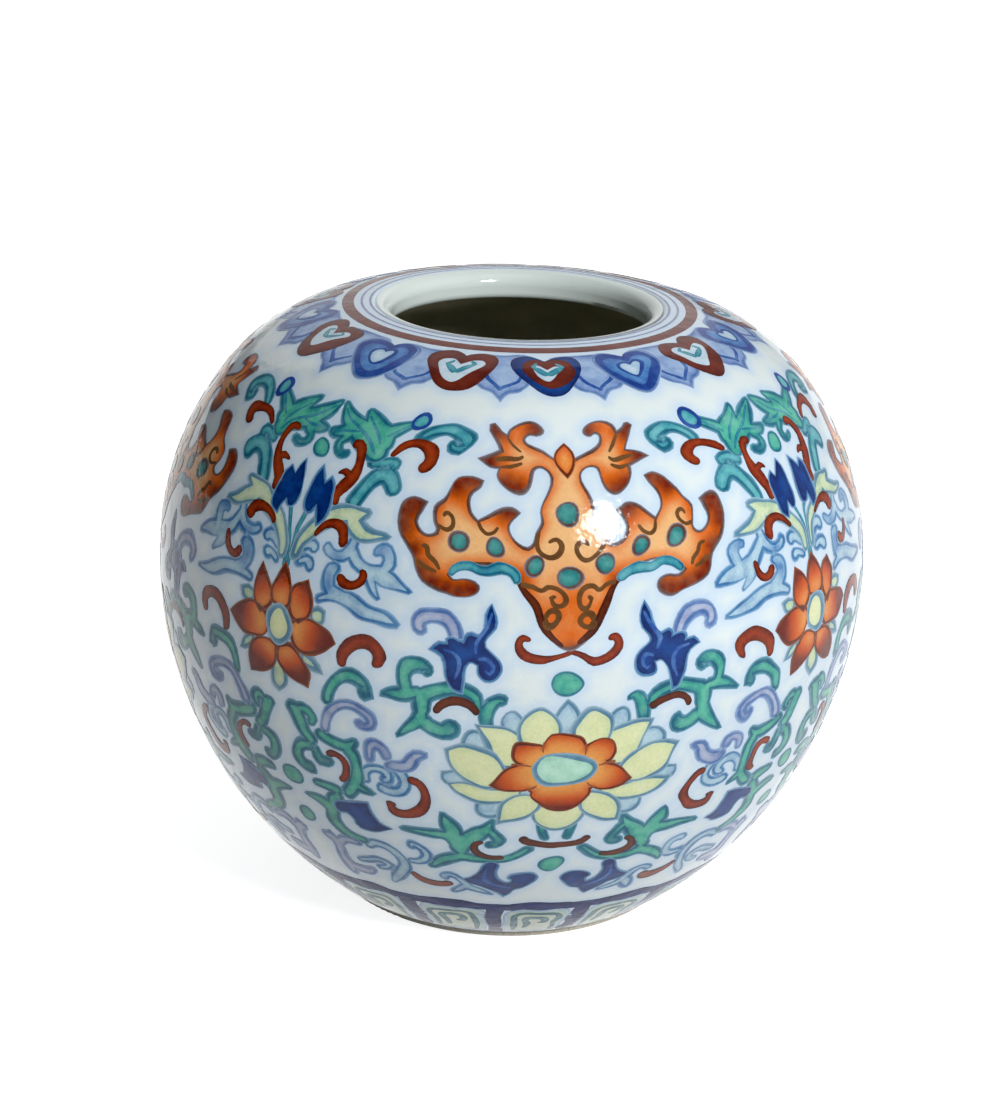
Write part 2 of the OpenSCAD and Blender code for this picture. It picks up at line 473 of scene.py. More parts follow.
@dataclass
class Wall:
    """Outer face of the finished wall: three tangent arcs turned about the axis, in millimetres.

    Attributes:
        belly_r: greatest radius.
        belly_h: height of the greatest radius.
        height: height of the lip's crest.
        crest_r: radius of the lip's crest.
        foot_r: radius at the joint above the foot ring.
        foot_h: height of that joint.
        shoulder_slope: slope of the radius on which the belly's arc meets the shoulder's arc.
        arcs: the arcs below the belly, at the belly and at the shoulder.
    """

    belly_r: float
    belly_h: float
    height: float
    crest_r: float
    foot_r: float
    foot_h: float
    shoulder_slope: float = 0.75
    arcs: list[Arc] = field(init=False)

    def __post_init__(self) -> None:
        """Works out the three arcs from the driving sizes."""
        meet = math.atan(self.shoulder_slope)
        across, up = math.cos(meet), math.sin(meet)
        run, rise = self.belly_r - self.crest_r, self.height - self.belly_h
        balance = across + up - 1
        belly_arc = (across * rise - (1 - up) * run) / balance
        shoulder_arc = (up * run - (1 - across) * rise) / balance
        low_run, low_rise = self.belly_r - self.foot_r, self.belly_h - self.foot_h
        lower_arc = (low_run ** 2 + low_rise ** 2) / (2 * low_run)
        foot_turn = -math.asin(low_rise / lower_arc)
        self.arcs = [
            Arc(self.belly_r - lower_arc, self.belly_h, lower_arc, foot_turn, 0.0),
            Arc(self.belly_r - belly_arc, self.belly_h, belly_arc, 0.0, meet),
            Arc(self.crest_r, self.height - shoulder_arc, shoulder_arc, meet, math.pi / 2),
        ]

    @classmethod
    def from_frame(cls) -> "Wall":
        """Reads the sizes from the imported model's coat and seam.

        Returns:
            The wall.
        """
        coat_low, coat_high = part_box("outer_glaze")
        seam_low, seam_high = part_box("luting_seam")
        corners = [v.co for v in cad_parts["outer_glaze"].data.vertices]
        near = 1e-6
        crest_r = min(v.xy.length for v in corners if v.z > coat_high.z - near)
        foot_r = max(v.xy.length for v in corners if v.z < coat_low.z + near)
        sizes = (coat_high.x, (seam_low.z + seam_high.z) / 2, coat_high.z, crest_r, foot_r, coat_low.z)
        return cls(*(size / MM for size in sizes))

    @property
    def length(self) -> float:
        """Arc length from the foot joint to the crest."""
        return sum(arc.length for arc in self.arcs)

    def at(self, rise: float) -> tuple[Vector, Vector]:
        """Finds the half section's point and outward direction at an arc length.

        Args:
            rise: arc length up the wall from the foot joint.

        Returns:
            The point and the unit normal, each as radius and height.
        """
        for arc in self.arcs:
            if rise <= arc.length or arc is self.arcs[-1]:
                point = arc.point(rise / arc.length)
                return point, (point - Vector((arc.x, arc.z))).normalized()
            rise -= arc.length
        raise ValueError("the wall has no arcs")

    def place(self, x: float, rise: float, lift: float, turn: float) -> Vector:
        """Lays a flat point on the wall.

        Args:
            x: distance round the wall from the motif's axis.
            rise: arc length up the wall.
            lift: height above the wall's face.
            turn: angle of the motif's axis from the front, in radians.

        Returns:
            The point in metres.
        """
        point, normal = self.at(rise)
        reach = point + lift * normal
        angle = turn + x / point.x
        return Vector((reach.x * math.sin(angle), -reach.x * math.cos(angle), reach.y)) * MM

    def normal(self, place: Vector) -> Vector:
        """Finds the wall's direction next to a painted point.

        Args:
            place: the point, in metres.

        Returns:
            The outward unit normal.
        """
        radius, height = place.xy.length / MM, place.z / MM
        lower, belly, shoulder = self.arcs
        joint = belly.point(1.0).y
        arc = lower if height < self.belly_h else belly if height < joint else shoulder
        across, up = radius - arc.x, height - arc.z
        outward = Vector((place.x, place.y, 0)).normalized() * across
        return (outward + Vector((0, 0, up))).normalized()


# Sharpest turn that the brush rounds, the steps of a curve, and the shortest step of an outline
CORNER = math.radians(80)
TURN_STEP = math.radians(14)
LONG_STEP = 0.8
LINE_STEP = 0.28

# A stroke's narrowest end and middle, the steps of its round ends in degrees, how blunt they stay, and the
# number of digits and the span that tell two marks along it apart
LEAST_END = 0.1
LEAST_WIDTH = 0.06
CAP_STEPS = (0, 25, 50, 70, 90)
CAP_BLUNT = 0.0004
MARK_DIGITS = 4
MARK_SPAN = 1e-9

# Least cosine that widens an outline at a corner, so that it has no spike, and the length below which the
# two sides of a corner cancel out
MITRE = 0.6
NO_SIDE = 1e-6

# Unsteadiness of the painter's hand: its length along a line, its reach, how far its noise moves on for a
# radian round the wall, where the noise for its rise and fall is read, and how far a line swells
HAND_MM = 3.5
HAND_REACH = 0.55
HAND_TURN = 40
BOB_SHIFT = Vector((0, 0, 57))
LINE_SWELL = 0.8


def smooth(knots: Shape, closed: bool) -> list[Vector]:
    """Runs a smooth curve through the given knots, and keeps a very sharp turn as a corner.

    Args:
        knots: points as x, y and, for a brush stroke, width.
        closed: whether the curve returns to its first knot.

    Returns:
        Points along the curve, with the width as their third number.
    """
    points = [Vector((*knot, 0.0)[:3]) for knot in knots]
    count = len(points)
    inner = range(count) if closed else range(1, count - 1)
    tangents: dict[int, Vector] = {}
    for i in inner:
        before, after = points[i] - points[i - 1], points[(i + 1) % count] - points[i]
        if before.xy.angle(after.xy) < CORNER:
            tangents[i] = (before.normalized() + after.normalized()).normalized()
    path: list[Vector] = []
    for i in range(count if closed else count - 1):
        j = (i + 1) % count
        chord = points[j] - points[i]
        leave, arrive = tangents.get(i, chord.normalized()), tangents.get(j, chord.normalized())
        turn = leave.angle(chord) + chord.angle(arrive)
        steps = max(1, math.ceil(turn / TURN_STEP), math.ceil(chord.length / LONG_STEP))
        third = chord.length / 3
        path += interpolate_bezier(
            points[i], points[i] + leave * third, points[j] - arrive * third, points[j], steps + 1)[:-1]
    if not closed:
        path.append(points[-1])
    return path


def mirrored(points: Sequence[Vector]) -> list[Vector]:
    """Mirrors points in the motif's axis, in reverse order."""
    return [Vector((-p[0], *p[1:])) for p in reversed(points)]


def strip_cells(left: list[Vector], right: list[Vector], closed: bool) -> list[list[Vector]]:
    """Cuts the strip between two rails into triangles.

    Args:
        left: points along one side.
        right: points along the other side.
        closed: whether the strip joins up.

    Returns:
        Two triangles for each step.
    """
    count = len(left)
    cells = []
    for i in range(count if closed else count - 1):
        j = (i + 1) % count
        cells += [[left[i], right[i], right[j]], [left[i], right[j], left[j]]]
    return cells


def brush_cells(knots: Shape) -> list[list[Vector]]:
    """Makes the strip that a loaded brush leaves, with rounded ends.

    Args:
        knots: x, y and full width along the stroke.

    Returns:
        The strip's triangles.
    """
    path = smooth(knots, closed=False)
    marks = [0.0]
    for before, after in zip(path, path[1:]):
        marks.append(marks[-1] + (after - before).xy.length)
    total = marks[-1]
    heel, tip = max(path[0].z, LEAST_END) / 2, max(path[-1].z, LEAST_END) / 2
    caps = [1 - math.cos(math.radians(step)) for step in CAP_STEPS]
    stops = [heel * cap for cap in caps] + [total - tip * cap for cap in caps]
    stops += [mark for mark in marks if heel < mark < total - tip]
    wanted = {round(stop, MARK_DIGITS) for stop in stops}
    left, middle, right = [], [], []
    step = 0
    for mark in sorted(wanted):
        while step < len(path) - 2 and marks[step + 1] < mark:
            step += 1
        span = max(marks[step + 1] - marks[step], MARK_SPAN)
        point = path[step].lerp(path[step + 1], min(max((mark - marks[step]) / span, 0), 1))
        along = (path[min(step + 2, len(path) - 1)] - path[max(step - 1, 0)]).xy.normalized()
        half = max(point.z, LEAST_WIDTH) / 2
        for end, reach in ((mark, heel), (total - mark, tip)):
            if end < reach:
                half *= math.sqrt(max(1 - (1 - end / reach) ** 2, CAP_BLUNT))
        side = Vector((-along.y, along.x)) * half
        left.append(point.xy + side)
        middle.append(point.xy)
        right.append(point.xy - side)
    return strip_cells(left, middle, closed=False) + strip_cells(middle, right, closed=False)


def line_cells(loop: list[Vector], width: float) -> tuple[list[list[Vector]], list[Vector]]:
    """Makes the strip of a line drawn along a closed outline.

    Args:
        loop: the outline's points in order, with the wash on their left.
        width: width of the line.

    Returns:
        The strip's triangles, and the points along its outer side.
    """
    left, right = [], []
    count = len(loop)
    for i, point in enumerate(loop):
        before = (point - loop[i - 1]).normalized()
        after = (loop[(i + 1) % count] - point).normalized()
        side = Vector((-before.y - after.y, before.x + after.x))
        square = Vector((-before.y, before.x))
        side = side.normalized() if side.length > NO_SIDE else square
        stretch = 1 / max(side.dot(square), MITRE)
        half = width / 2 * stretch * (1 + LINE_SWELL * noise.noise(point.to_3d() / HAND_MM))
        left.append(point + side * half)
        right.append(point - side * half)
    return strip_cells(left, loop, closed=True) + strip_cells(loop, right, closed=True), right


def area(polygon: list[Vector]) -> float:
    """Signed area of a flat polygon."""
    return sum(a.x * b.y - b.x * a.y for a, b in zip(polygon, polygon[1:] + polygon[:1])) / 2


def holds(polygon: list[Vector], point: Vector) -> bool:
    """Tells whether a flat polygon has a point inside it.

    Args:
        polygon: the polygon's corners in order.
        point: the point.

    Returns:
        True for a point inside.
    """
    inside = False
    for a, b in zip(polygon, polygon[1:] + polygon[:1]):
        if (a.y > point.y) != (b.y > point.y):
            inside ^= point.x < a.x + (point.y - a.y) / (b.y - a.y) * (b.x - a.x)
    return inside


# Spacing of the points inside a wash, the area and the distance below which cells and points don't count,
# and the films' height over the glaze, their rise for each coat and their depth in it
WASH_GRID = 0.65
SLIVER = 1e-4
MERGE = 1e-4
FILM_BASE, FILM_STEP, FILM_SINK = 0.022, 0.008, 0.015


def nearest(points: Sequence[Vector]) -> KDTree:
    """Sorts points so that the one nearest to a place is found fast.

    Args:
        points: the points.

    Returns:
        The tree to search.
    """
    tree = KDTree(len(points))
    for i, point in enumerate(points):
        tree.insert(point, i)
    tree.balance()
    return tree


def flat_film(
    polygons: list[list[Vector]], soft: float, shade: Shade | None = None, rim: Sequence[Vector] = ()
) -> bmesh.types.BMesh:
    """Joins overlapping flat polygons into one triangulated sheet.

    Args:
        polygons: the shapes that run together.
        soft: distance from the rim over which the edge value rises from 0 to 1.
        shade: gives the tone at a flat point, or None for no tone.
        rim: the side of a line that fades. With none, the sheet is a wash: it fades to its own outline, and
            points are spread inside it, so that it follows the wall.

    Returns:
        The sheet, with edge and tone values at its points.
    """
    points: list[Vector] = []
    faces: list[list[int]] = []
    parts = [p if area(p) > 0 else p[::-1] for p in polygons if abs(area(p)) > SLIVER]
    for part in parts:
        faces.append(list(range(len(points), len(points) + len(part))))
        points += [p.xy for p in part]
    if not rim:
        low_x, high_x = min(p.x for p in points), max(p.x for p in points)
        low_y, high_y = min(p.y for p in points), max(p.y for p in points)
        for row in range(1, math.ceil((high_y - low_y) / WASH_GRID)):
            for column in range(math.ceil((high_x - low_x) / WASH_GRID)):
                shift = 0.5 if row % 2 else 0.0
                points.append(Vector((low_x + (column + shift) * WASH_GRID, low_y + row * WASH_GRID)))
    inside_only = 1
    places, _, cells, _, _, sources = delaunay_2d_cdt(points, [], faces, inside_only, MERGE)
    triangles = []
    for cell, source in zip(cells, sources):
        middle = sum((places[i] for i in cell), Vector((0, 0))) / 3
        if any(holds(parts[face], middle) for face in source):
            triangles.append(cell)
    film = bmesh.new()
    edge_layer = film.verts.layers.float.new("edge")
    tone_layer = film.verts.layers.float.new("tone")
    verts = {i: film.verts.new((*places[i], 0.0)) for i in sorted({i for t in triangles for i in t})}
    for triangle in triangles:
        film.faces.new([verts[i] for i in triangle])
    tree = nearest([p.to_3d() for p in rim] or [v.co for v in film.verts if v.is_boundary])
    for vert in film.verts:
        tone = shade(vert.co.x, vert.co.y) if shade else 0.0
        vert[edge_layer] = min(tree.find(vert.co)[2] / soft, 1.0) * max(1 - 2 * tone, 0.0)
        vert[tone_layer] = max(2 * tone - 1, 0.0)
    return film


def outline_loops(film: bmesh.types.BMesh) -> list[list[Vector]]:
    """Walks the sheet's outlines, and leaves out points that crowd together.

    Args:
        film: a flat sheet.

    Returns:
        The points of each closed outline, in order.
    """
    ahead = {}
    for edge in film.edges:
        if edge.is_boundary:
            loop = edge.link_loops[0]
            ahead[loop.vert] = loop.link_loop_next.vert
    loops = []
    while ahead:
        start, following = ahead.popitem()
        points = [start.co.xy]
        while following is not start and following in ahead:
            if (following.co.xy - points[-1]).length > LINE_STEP:
                points.append(following.co.xy)
            following = ahead.pop(following)
        if len(points) > 2:
            loops.append(points)
    return loops


@dataclass
class Wash:
    """One painted shape, or several that run together, with its mirror image in the motif's axis.

    Attributes:
        paint: the enamel that fills it.
        shapes: outlines of x and y, or brush strokes of x, y and width. An outline that starts and ends on
            the axis is half of a shape that lies across it.
        line: the enamel of its outline, or None.
        line_w: width of the outline.
        level: which coat of paint it belongs to, counted up from the glaze.
        shade: gives the tone at a flat point.
        paired: whether the mirror image is painted too.
    """

    paint: Paint
    shapes: Sequence[Shape]
    line: Paint | None = None
    line_w: float = 0.55
    level: int = 0
    shade: Shade | None = None
    paired: bool = True

    def polygons(self) -> list[list[Vector]]:
        """Turns the shapes into flat polygons.

        Returns:
            The polygons of the shapes and of their mirror images.
        """
        polygons = []
        for shape in self.shapes:
            is_stroke = len(shape[0]) == 3
            is_half = not is_stroke and shape[0][0] == shape[-1][0] == 0
            knots = [*shape, *((-x, y) for x, y in reversed(shape[1:-1]))] if is_half else shape
            parts = brush_cells(shape) if is_stroke else [[p.xy for p in smooth(knots, closed=True)]]
            polygons += parts
            if self.paired and not is_half:
                polygons += [mirrored(part) for part in parts]
        return polygons


# How slowly a tone sets in
FADE_CURVE = 1.4


def fade(x: float, y: float, near: float, far: float, most: float = 1.0, tall: float = 1.0) -> Shade:
    """Makes a tone that grows with the distance from a flower's centre.

    Args:
        x: the centre's distance from the axis.
        y: the centre's height up the wall.
        near: distance at which the tone starts.
        far: distance at which it is full.
        most: the full tone.
        tall: how much more a distance up the wall counts than one round it.

    Returns:
        The tone as a function of a flat point.
    """
    def shade(px: float, py: float) -> float:
        """Tone at a flat point."""
        share = (math.hypot(px - x, tall * (py - y)) - near) / (far - near)
        return most * min(max(share, 0.0), 1.0) ** FADE_CURVE
    return shade


def tips(points: Sequence[tuple[float, float]], reach: float, most: float = 1.0) -> Shade:
    """Makes a tone that is full at some tips and dies away within a reach, on both sides of the axis.

    Args:
        points: the tips.
        reach: distance over which the tone dies away.
        most: the full tone.

    Returns:
        The tone as a function of a flat point.
    """
    def shade(px: float, py: float) -> float:
        """Tone at a flat point."""
        near = min(math.hypot(abs(px) - x, py - y) for x, y in points)
        return most * math.exp(-(near / reach) ** 2)
    return shade


def strongest(*shades: Shade) -> Shade:
    """Makes one tone of several.

    Args:
        shades: the tones.

    Returns:
        The strongest of them as a function of a flat point.
    """
    def shade(px: float, py: float) -> float:
        """Tone at a flat point."""
        return max(part(px, py) for part in shades)
    return shade


def dot(x: float, y: float, rx: float, ry: float = 0.0) -> list[Knot]:
    """Knots of a painted dot, round or oval, or of its right half where it lies on the axis."""
    angles = [k * math.pi / 4 for k in (range(8) if x else range(-2, 3))]
    return [(round(x + rx * math.cos(a), 6), y + (ry or rx) * math.sin(a)) for a in angles]


def ring(x: float, y: float, radius: float, width: float) -> list[Knot]:
    """Knots of a brushed ring."""
    return [(x + radius * math.cos(k * math.pi / 4), y + radius * math.sin(k * math.pi / 4), width)
            for k in range(9)]


def around(count: int, shift: float = 0.0) -> list[float]:
    """Angles in radians of places spaced evenly round the wall, shifted by a share of the spacing."""
    return [(k + shift) * math.tau / count for k in range(count)]


def to_mesh(shell: bmesh.types.BMesh, name: str) -> bpy.types.Mesh:
    """Turns a bmesh, which is used up, into a mesh.

    Args:
        shell: the bmesh.
        name: the mesh's name.

    Returns:
        The mesh.
    """
    mesh = bpy.data.meshes.new(name)
    shell.to_mesh(mesh)
    shell.free()
    return mesh


def add_object(name: str, data: bpy.types.ID) -> bpy.types.Object:
    """Puts a mesh, lamp or camera in the scene.

    Args:
        name: the object's name.
        data: what it shows.

    Returns:
        The object, at the origin.
    """
    thing = bpy.data.objects.new(name, data)
    bpy.context.scene.collection.objects.link(thing)
    return thing


class Painter:
    """Lays flat washes on the wall as thin closed films, one mesh for each enamel."""

    def __init__(self, wall: Wall) -> None:
        """Starts with a bare wall."""
        self.wall = wall
        self.films: dict[Paint, bmesh.types.BMesh] = {}

    def paint(self, washes: Sequence[Wash], turns: Sequence[float]) -> None:
        """Paints a motif at each of its places round the wall.

        Args:
            washes: the motif's washes, lowest first.
            turns: angles of the motif's axes from the front, in radians.
        """
        for wash in washes:
            soft = wash.paint.value.soft_mm
            film = flat_film(wash.polygons(), soft, wash.shade)
            if wash.line:
                lines = [line_cells(loop, wash.line_w) for loop in outline_loops(film)]
                cells = [cell for strip, _ in lines for cell in strip]
                rim = [point for _, side in lines for point in side]
                line = flat_film(cells, min(wash.line_w / 2, wash.line.value.soft_mm), rim=rim)
                self._lay(line, wash.line, wash.level + 1, turns)
            self._lay(film, wash.paint, wash.level, turns)

    def _lay(self, film: bmesh.types.BMesh, paint: Paint, level: int, turns: Sequence[float]) -> None:
        """Gives a flat sheet its thickness and copies it on to the wall.

        Args:
            film: the flat sheet, which is used up.
            paint: the enamel that it belongs to.
            level: which coat it lies in.
            turns: angles of its places.
        """
        top = bmesh.ops.extrude_face_region(film, geom=film.faces[:], use_keep_orig=True)["geom"]
        raised = {v for v in top if isinstance(v, bmesh.types.BMVert)}
        for vert in film.verts:
            vert.co.z = FILM_BASE + level * FILM_STEP if vert in raised else -FILM_SINK
        bmesh.ops.recalc_face_normals(film, faces=film.faces[:])
        sheet = to_mesh(film, "sheet")
        whole = self._film(paint)
        for turn in turns:
            start = len(whole.verts)
            whole.from_mesh(sheet)
            whole.verts.ensure_lookup_table()
            for vert in whole.verts[start:]:
                x, rise, lift = vert.co
                spot = Vector((x, rise, turn * HAND_TURN)) / HAND_MM
                sway, bob = noise.noise(spot), noise.noise(spot + BOB_SHIFT)
                vert.co = self.wall.place(x + HAND_REACH * sway, rise + HAND_REACH * bob, lift, turn)
        bpy.data.meshes.remove(sheet)

    def _film(self, paint: Paint) -> bmesh.types.BMesh:
        """Finds or starts the mesh that an enamel's films are joined into.

        Args:
            paint: the enamel.

        Returns:
            The mesh.
        """
        if paint not in self.films:
            whole = bmesh.new()
            whole.verts.layers.float.new("edge")
            whole.verts.layers.float.new("tone")
            self.films[paint] = whole
        return self.films[paint]

    def band(self, paint: Paint, low: float, high: float, level: int) -> None:
        """Paints a band right round the wall while the jar turns on the wheel.

        Args:
            paint: the enamel.
            low: the band's lower edge, up the wall.
            high: its upper edge.
            level: which coat it lies in.
        """
        steps = max(2, math.ceil((high - low) / LONG_STEP))
        rises = [low + (high - low) * i / steps for i in range(steps + 1)]
        lift = FILM_BASE + level * FILM_STEP
        loop = [(rise, lift) for rise in rises] + [(rise, -FILM_SINK) for rise in reversed(rises)]
        strip = spun([self.wall.place(0, rise, height, 0) for rise, height in loop])
        edge_layer = strip.verts.layers.float.new("edge")
        strip.verts.layers.float.new("tone")
        for vert in strip.verts:
            vert[edge_layer] = 1.0
        sheet = to_mesh(strip, "sheet")
        self._film(paint).from_mesh(sheet)
        bpy.data.meshes.remove(sheet)

    def finish(self) -> list[bpy.types.Object]:
        """Turns each enamel's films into a piece with the wall's own smooth shading.

        Returns:
            The painted pieces.
        """
        pieces = []
        for paint, whole in self.films.items():
            piece = to_piece(whole, paint.value.name, paint.value.material())
            piece.data.normals_split_custom_set_from_vertices(
                [self.wall.normal(v.co) for v in piece.data.vertices])
            pieces.append(piece)
        return pieces


# Steps of a full turn of the wheel, and the distance in metres at which its two ends join
WHEEL_STEPS = 288
SEAM = 1e-7


def spun(loop: Sequence[Vector]) -> bmesh.types.BMesh:
    """Turns a closed half section about the axis into a closed shell.

    Args:
        loop: the section's points in metres.

    Returns:
        The shell.
    """
    shell = bmesh.new()
    verts = [shell.verts.new(point) for point in loop]
    edges = [shell.edges.new((a, b)) for a, b in zip(verts, verts[1:] + verts[:1])]
    bmesh.ops.spin(
        shell, geom=verts + edges, cent=(0, 0, 0), axis=(0, 0, 1), angle=math.tau, steps=WHEEL_STEPS,
        use_merge=True)
    bmesh.ops.remove_doubles(shell, verts=shell.verts[:], dist=SEAM)
    bmesh.ops.recalc_face_normals(shell, faces=shell.faces[:])
    return shell


def to_piece(
    shell: bmesh.types.BMesh, name: str, material: bpy.types.Material
) -> bpy.types.Object:
    """Makes a finished piece that rides on the jar.

    Args:
        shell: the piece's mesh, which is used up.
        name: the piece's name.
        material: its finish.

    Returns:
        The piece.
    """
    for face in shell.faces:
        face.smooth = True
    mesh = to_mesh(shell, name)
    mesh.materials.append(material)
    piece = add_object(name, mesh)
    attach(piece, BODY)
    return piece


@dataclass
class BatPanel:
    """A bat over a yellow lotus with leaf scrolls, painted on each of four sides.

    Attributes:
        count: how many panels go round.
    """

    count: int = 4

    def bat(self) -> list[Wash]:
        """The bat with spread wings, its scrolls and jewels.

        Returns:
            The washes.
        """
        body = [
            (0, 77), (1.4, 77.7), (2.4, 78.3), (3.6, 78.9), (4.3, 79.5), (4.4, 80.3), (3.8, 80.8),
            (3, 80.6), (2.5, 81.2), (2.8, 81.9), (3.7, 82.3), (4.8, 82.2), (5.8, 81.5), (6.3, 80.6),
            (7, 81), (7.7, 81.8), (8.4, 81.5), (8, 80.4), (7.6, 79.2), (7.4, 78.4), (8.4, 78), (9.8, 77.4),
            (8.6, 76.7), (7.4, 76.5), (7.6, 75.6), (7.3, 74.5), (6.5, 73.8), (5.4, 73.6), (4.6, 74.2),
            (4.3, 75.2), (3.9, 76.2), (3, 76.6), (2, 76.2), (1.6, 75.4), (1.9, 74), (2.5, 72.6),
            (2.9, 71.2), (3, 70), (3.7, 69.1), (4.1, 68), (4.9, 67.4), (5.9, 67.7), (6.6, 68.6),
            (6.8, 69.6), (6.4, 70.5), (5.7, 71.4), (6.6, 71.9), (8, 71.6), (9.4, 70.7), (10.4, 70),
            (11.2, 71), (11.3, 72.2), (10.8, 73.3), (10, 74.1), (9.6, 74.8), (10.6, 75.2), (12, 74.8),
            (13, 73.6), (14.2, 72.2), (15.4, 71), (15.5, 69.6), (15.2, 68.5), (16.2, 67.9), (17.2, 68.4),
            (17.6, 69.5), (17, 70.6), (16.5, 71.4), (17.6, 71.8), (18.9, 71.3), (19.6, 70), (19.5, 68.5),
            (18.7, 66.8), (17.8, 65.2), (17.5, 63.8), (17, 62.7), (15.8, 62), (14.2, 61.5), (12.6, 60.9),
            (11.2, 61.1), (10.4, 61.9), (10.6, 62.8), (11.6, 63.2), (13.2, 63.1), (13.9, 63.8), (13, 64.7),
            (11.6, 65.3), (9.8, 65.2), (8, 64.9), (6.6, 64.3), (6.1, 63.6), (5.2, 62.2), (4.2, 60.5),
            (3.2, 58.6), (2, 57), (0.8, 55.9), (0, 55.6)]
        dark = tips(
            [(8.4, 81.6), (7.6, 81), (2.8, 81.4), (9.8, 77.4), (8.8, 77.2), (6, 73.8), (7, 74.4),
             (5.8, 71.6), (7, 71.6), (9.8, 75), (11.2, 74.8), (12.4, 74), (16.8, 71.5), (18, 71),
             (19, 70.4), (19.3, 69), (18.2, 66), (17.3, 63.8), (16, 62.5), (14.2, 61.9), (12.4, 61.5),
             (11, 61.9), (6.4, 63)], 2.4)
        head = tips([(0, 57), (1.5, 59.5), (0, 61)], 3.4, 0.5)
        chin = tips([(0, 55.4), (4.6, 59.6)], 1.5)
        jaw = [
            (6, 63.4, .3), (5.1, 62.2, .7), (4.1, 60.5, .8), (3.1, 58.7, .8), (1.9, 57.1, .7),
            (.8, 56.1, .4)]
        scrolls = [
            [(6.3, 80.4, .3), (5.9, 79.2, .5), (5.2, 78.3, .3)],
            [(7.3, 76.6, .3), (6.3, 76.5, .5), (5.2, 76.9, .3)],
            [(15.2, 69.2, .4), (14.2, 68.8, .5), (13.3, 69.4, .5), (13.3, 70.4, .5), (14, 70.7, .5),
             (14.4, 70.2, .4)],
            [(10.3, 69.9, .4), (10.1, 69, .5), (9.4, 68.3, .5), (8.5, 68.6, .5), (8.1, 69.4, .4)],
            [(16.9, 66.6, .4), (16.2, 66.5, .6), (15.9, 65.6, .6), (15.2, 65, .6), (14.9, 64.2, .4)],
            [(17.4, 65, .4), (16.4, 64.2, .6), (15.3, 63.9, .4)],
            [(3.6, 69.2, .5), (3.8, 68, .6), (3.3, 66.6, .6), (2.2, 65.9, .6), (1.2, 66.3, .6),
             (.8, 67.3, .6), (1.4, 68.1, .6), (2.3, 67.8, .5)],
            [(5.6, 63.1, .6), (4.4, 62.9, .6), (3.4, 62.3, .6), (2.4, 62.7, .6), (1.3, 62.5, .6),
             (.7, 61.6, .6), (1.1, 60.6, .6), (2, 60.5, .6), (2.4, 61.3, .6), (1.8, 61.7, .4)],
            ring(2.05, 59.1, .8, .7),
            [(8.2, 77.5, .3), (7, 77.5, .6), (5.6, 77.4, .5), (5, 77.8, .3)]]
        lining = [
            (13.6, 63.8, .8), (12.9, 64.5, .9), (11.4, 65, 1), (10.2, 64.5, .9), (9.4, 64.5, .8),
            (8.2, 64.8, 1), (6.9, 64.5, 1), (6.2, 63.8, .9), (5.9, 63.2, .7)]
        bud = [(0, 79.3), (.8, 78.4), (1, 77.4), (.6, 76.4), (0, 75.7)]
        jewels = [dot(12.8, 67.6, 1.1), dot(8.4, 66.9, 1), dot(4.2, 65.2, 1.15), dot(0, 70.9, 1.15),
                  dot(0, 63.9, 1.25)]
        whiskers = [
            (-.4, 55.4, .5), (1.4, 54.8, .7), (2.8, 54.2, 1), (4.4, 54.3, 1.1), (5.6, 55.2, 1.1),
            (5.8, 56.2, 1), (5.2, 56.8, 1), (4.4, 56.6, .8)]
        return [
            Wash(Paint.BAT, [body], Paint.UMBER_LINE, 0.4, shade=strongest(dark, head, chin)),
            Wash(Paint.DARK_RED, [jaw], level=2),
            Wash(Paint.BAT_SCROLL, scrolls, level=2),
            Wash(Paint.PETAL, [bud], Paint.BROWN_LINE, 0.3, level=2, shade=fade(0, 77, 0.5, 2.6, 0.8)),
            Wash(Paint.TEAL, [lining], Paint.TEAL_LINE, 0.25, level=2),
            Wash(Paint.JEWEL, jewels, Paint.UMBER_LINE, 0.35, level=4),
            Wash(Paint.RED, [whiskers]),
        ]

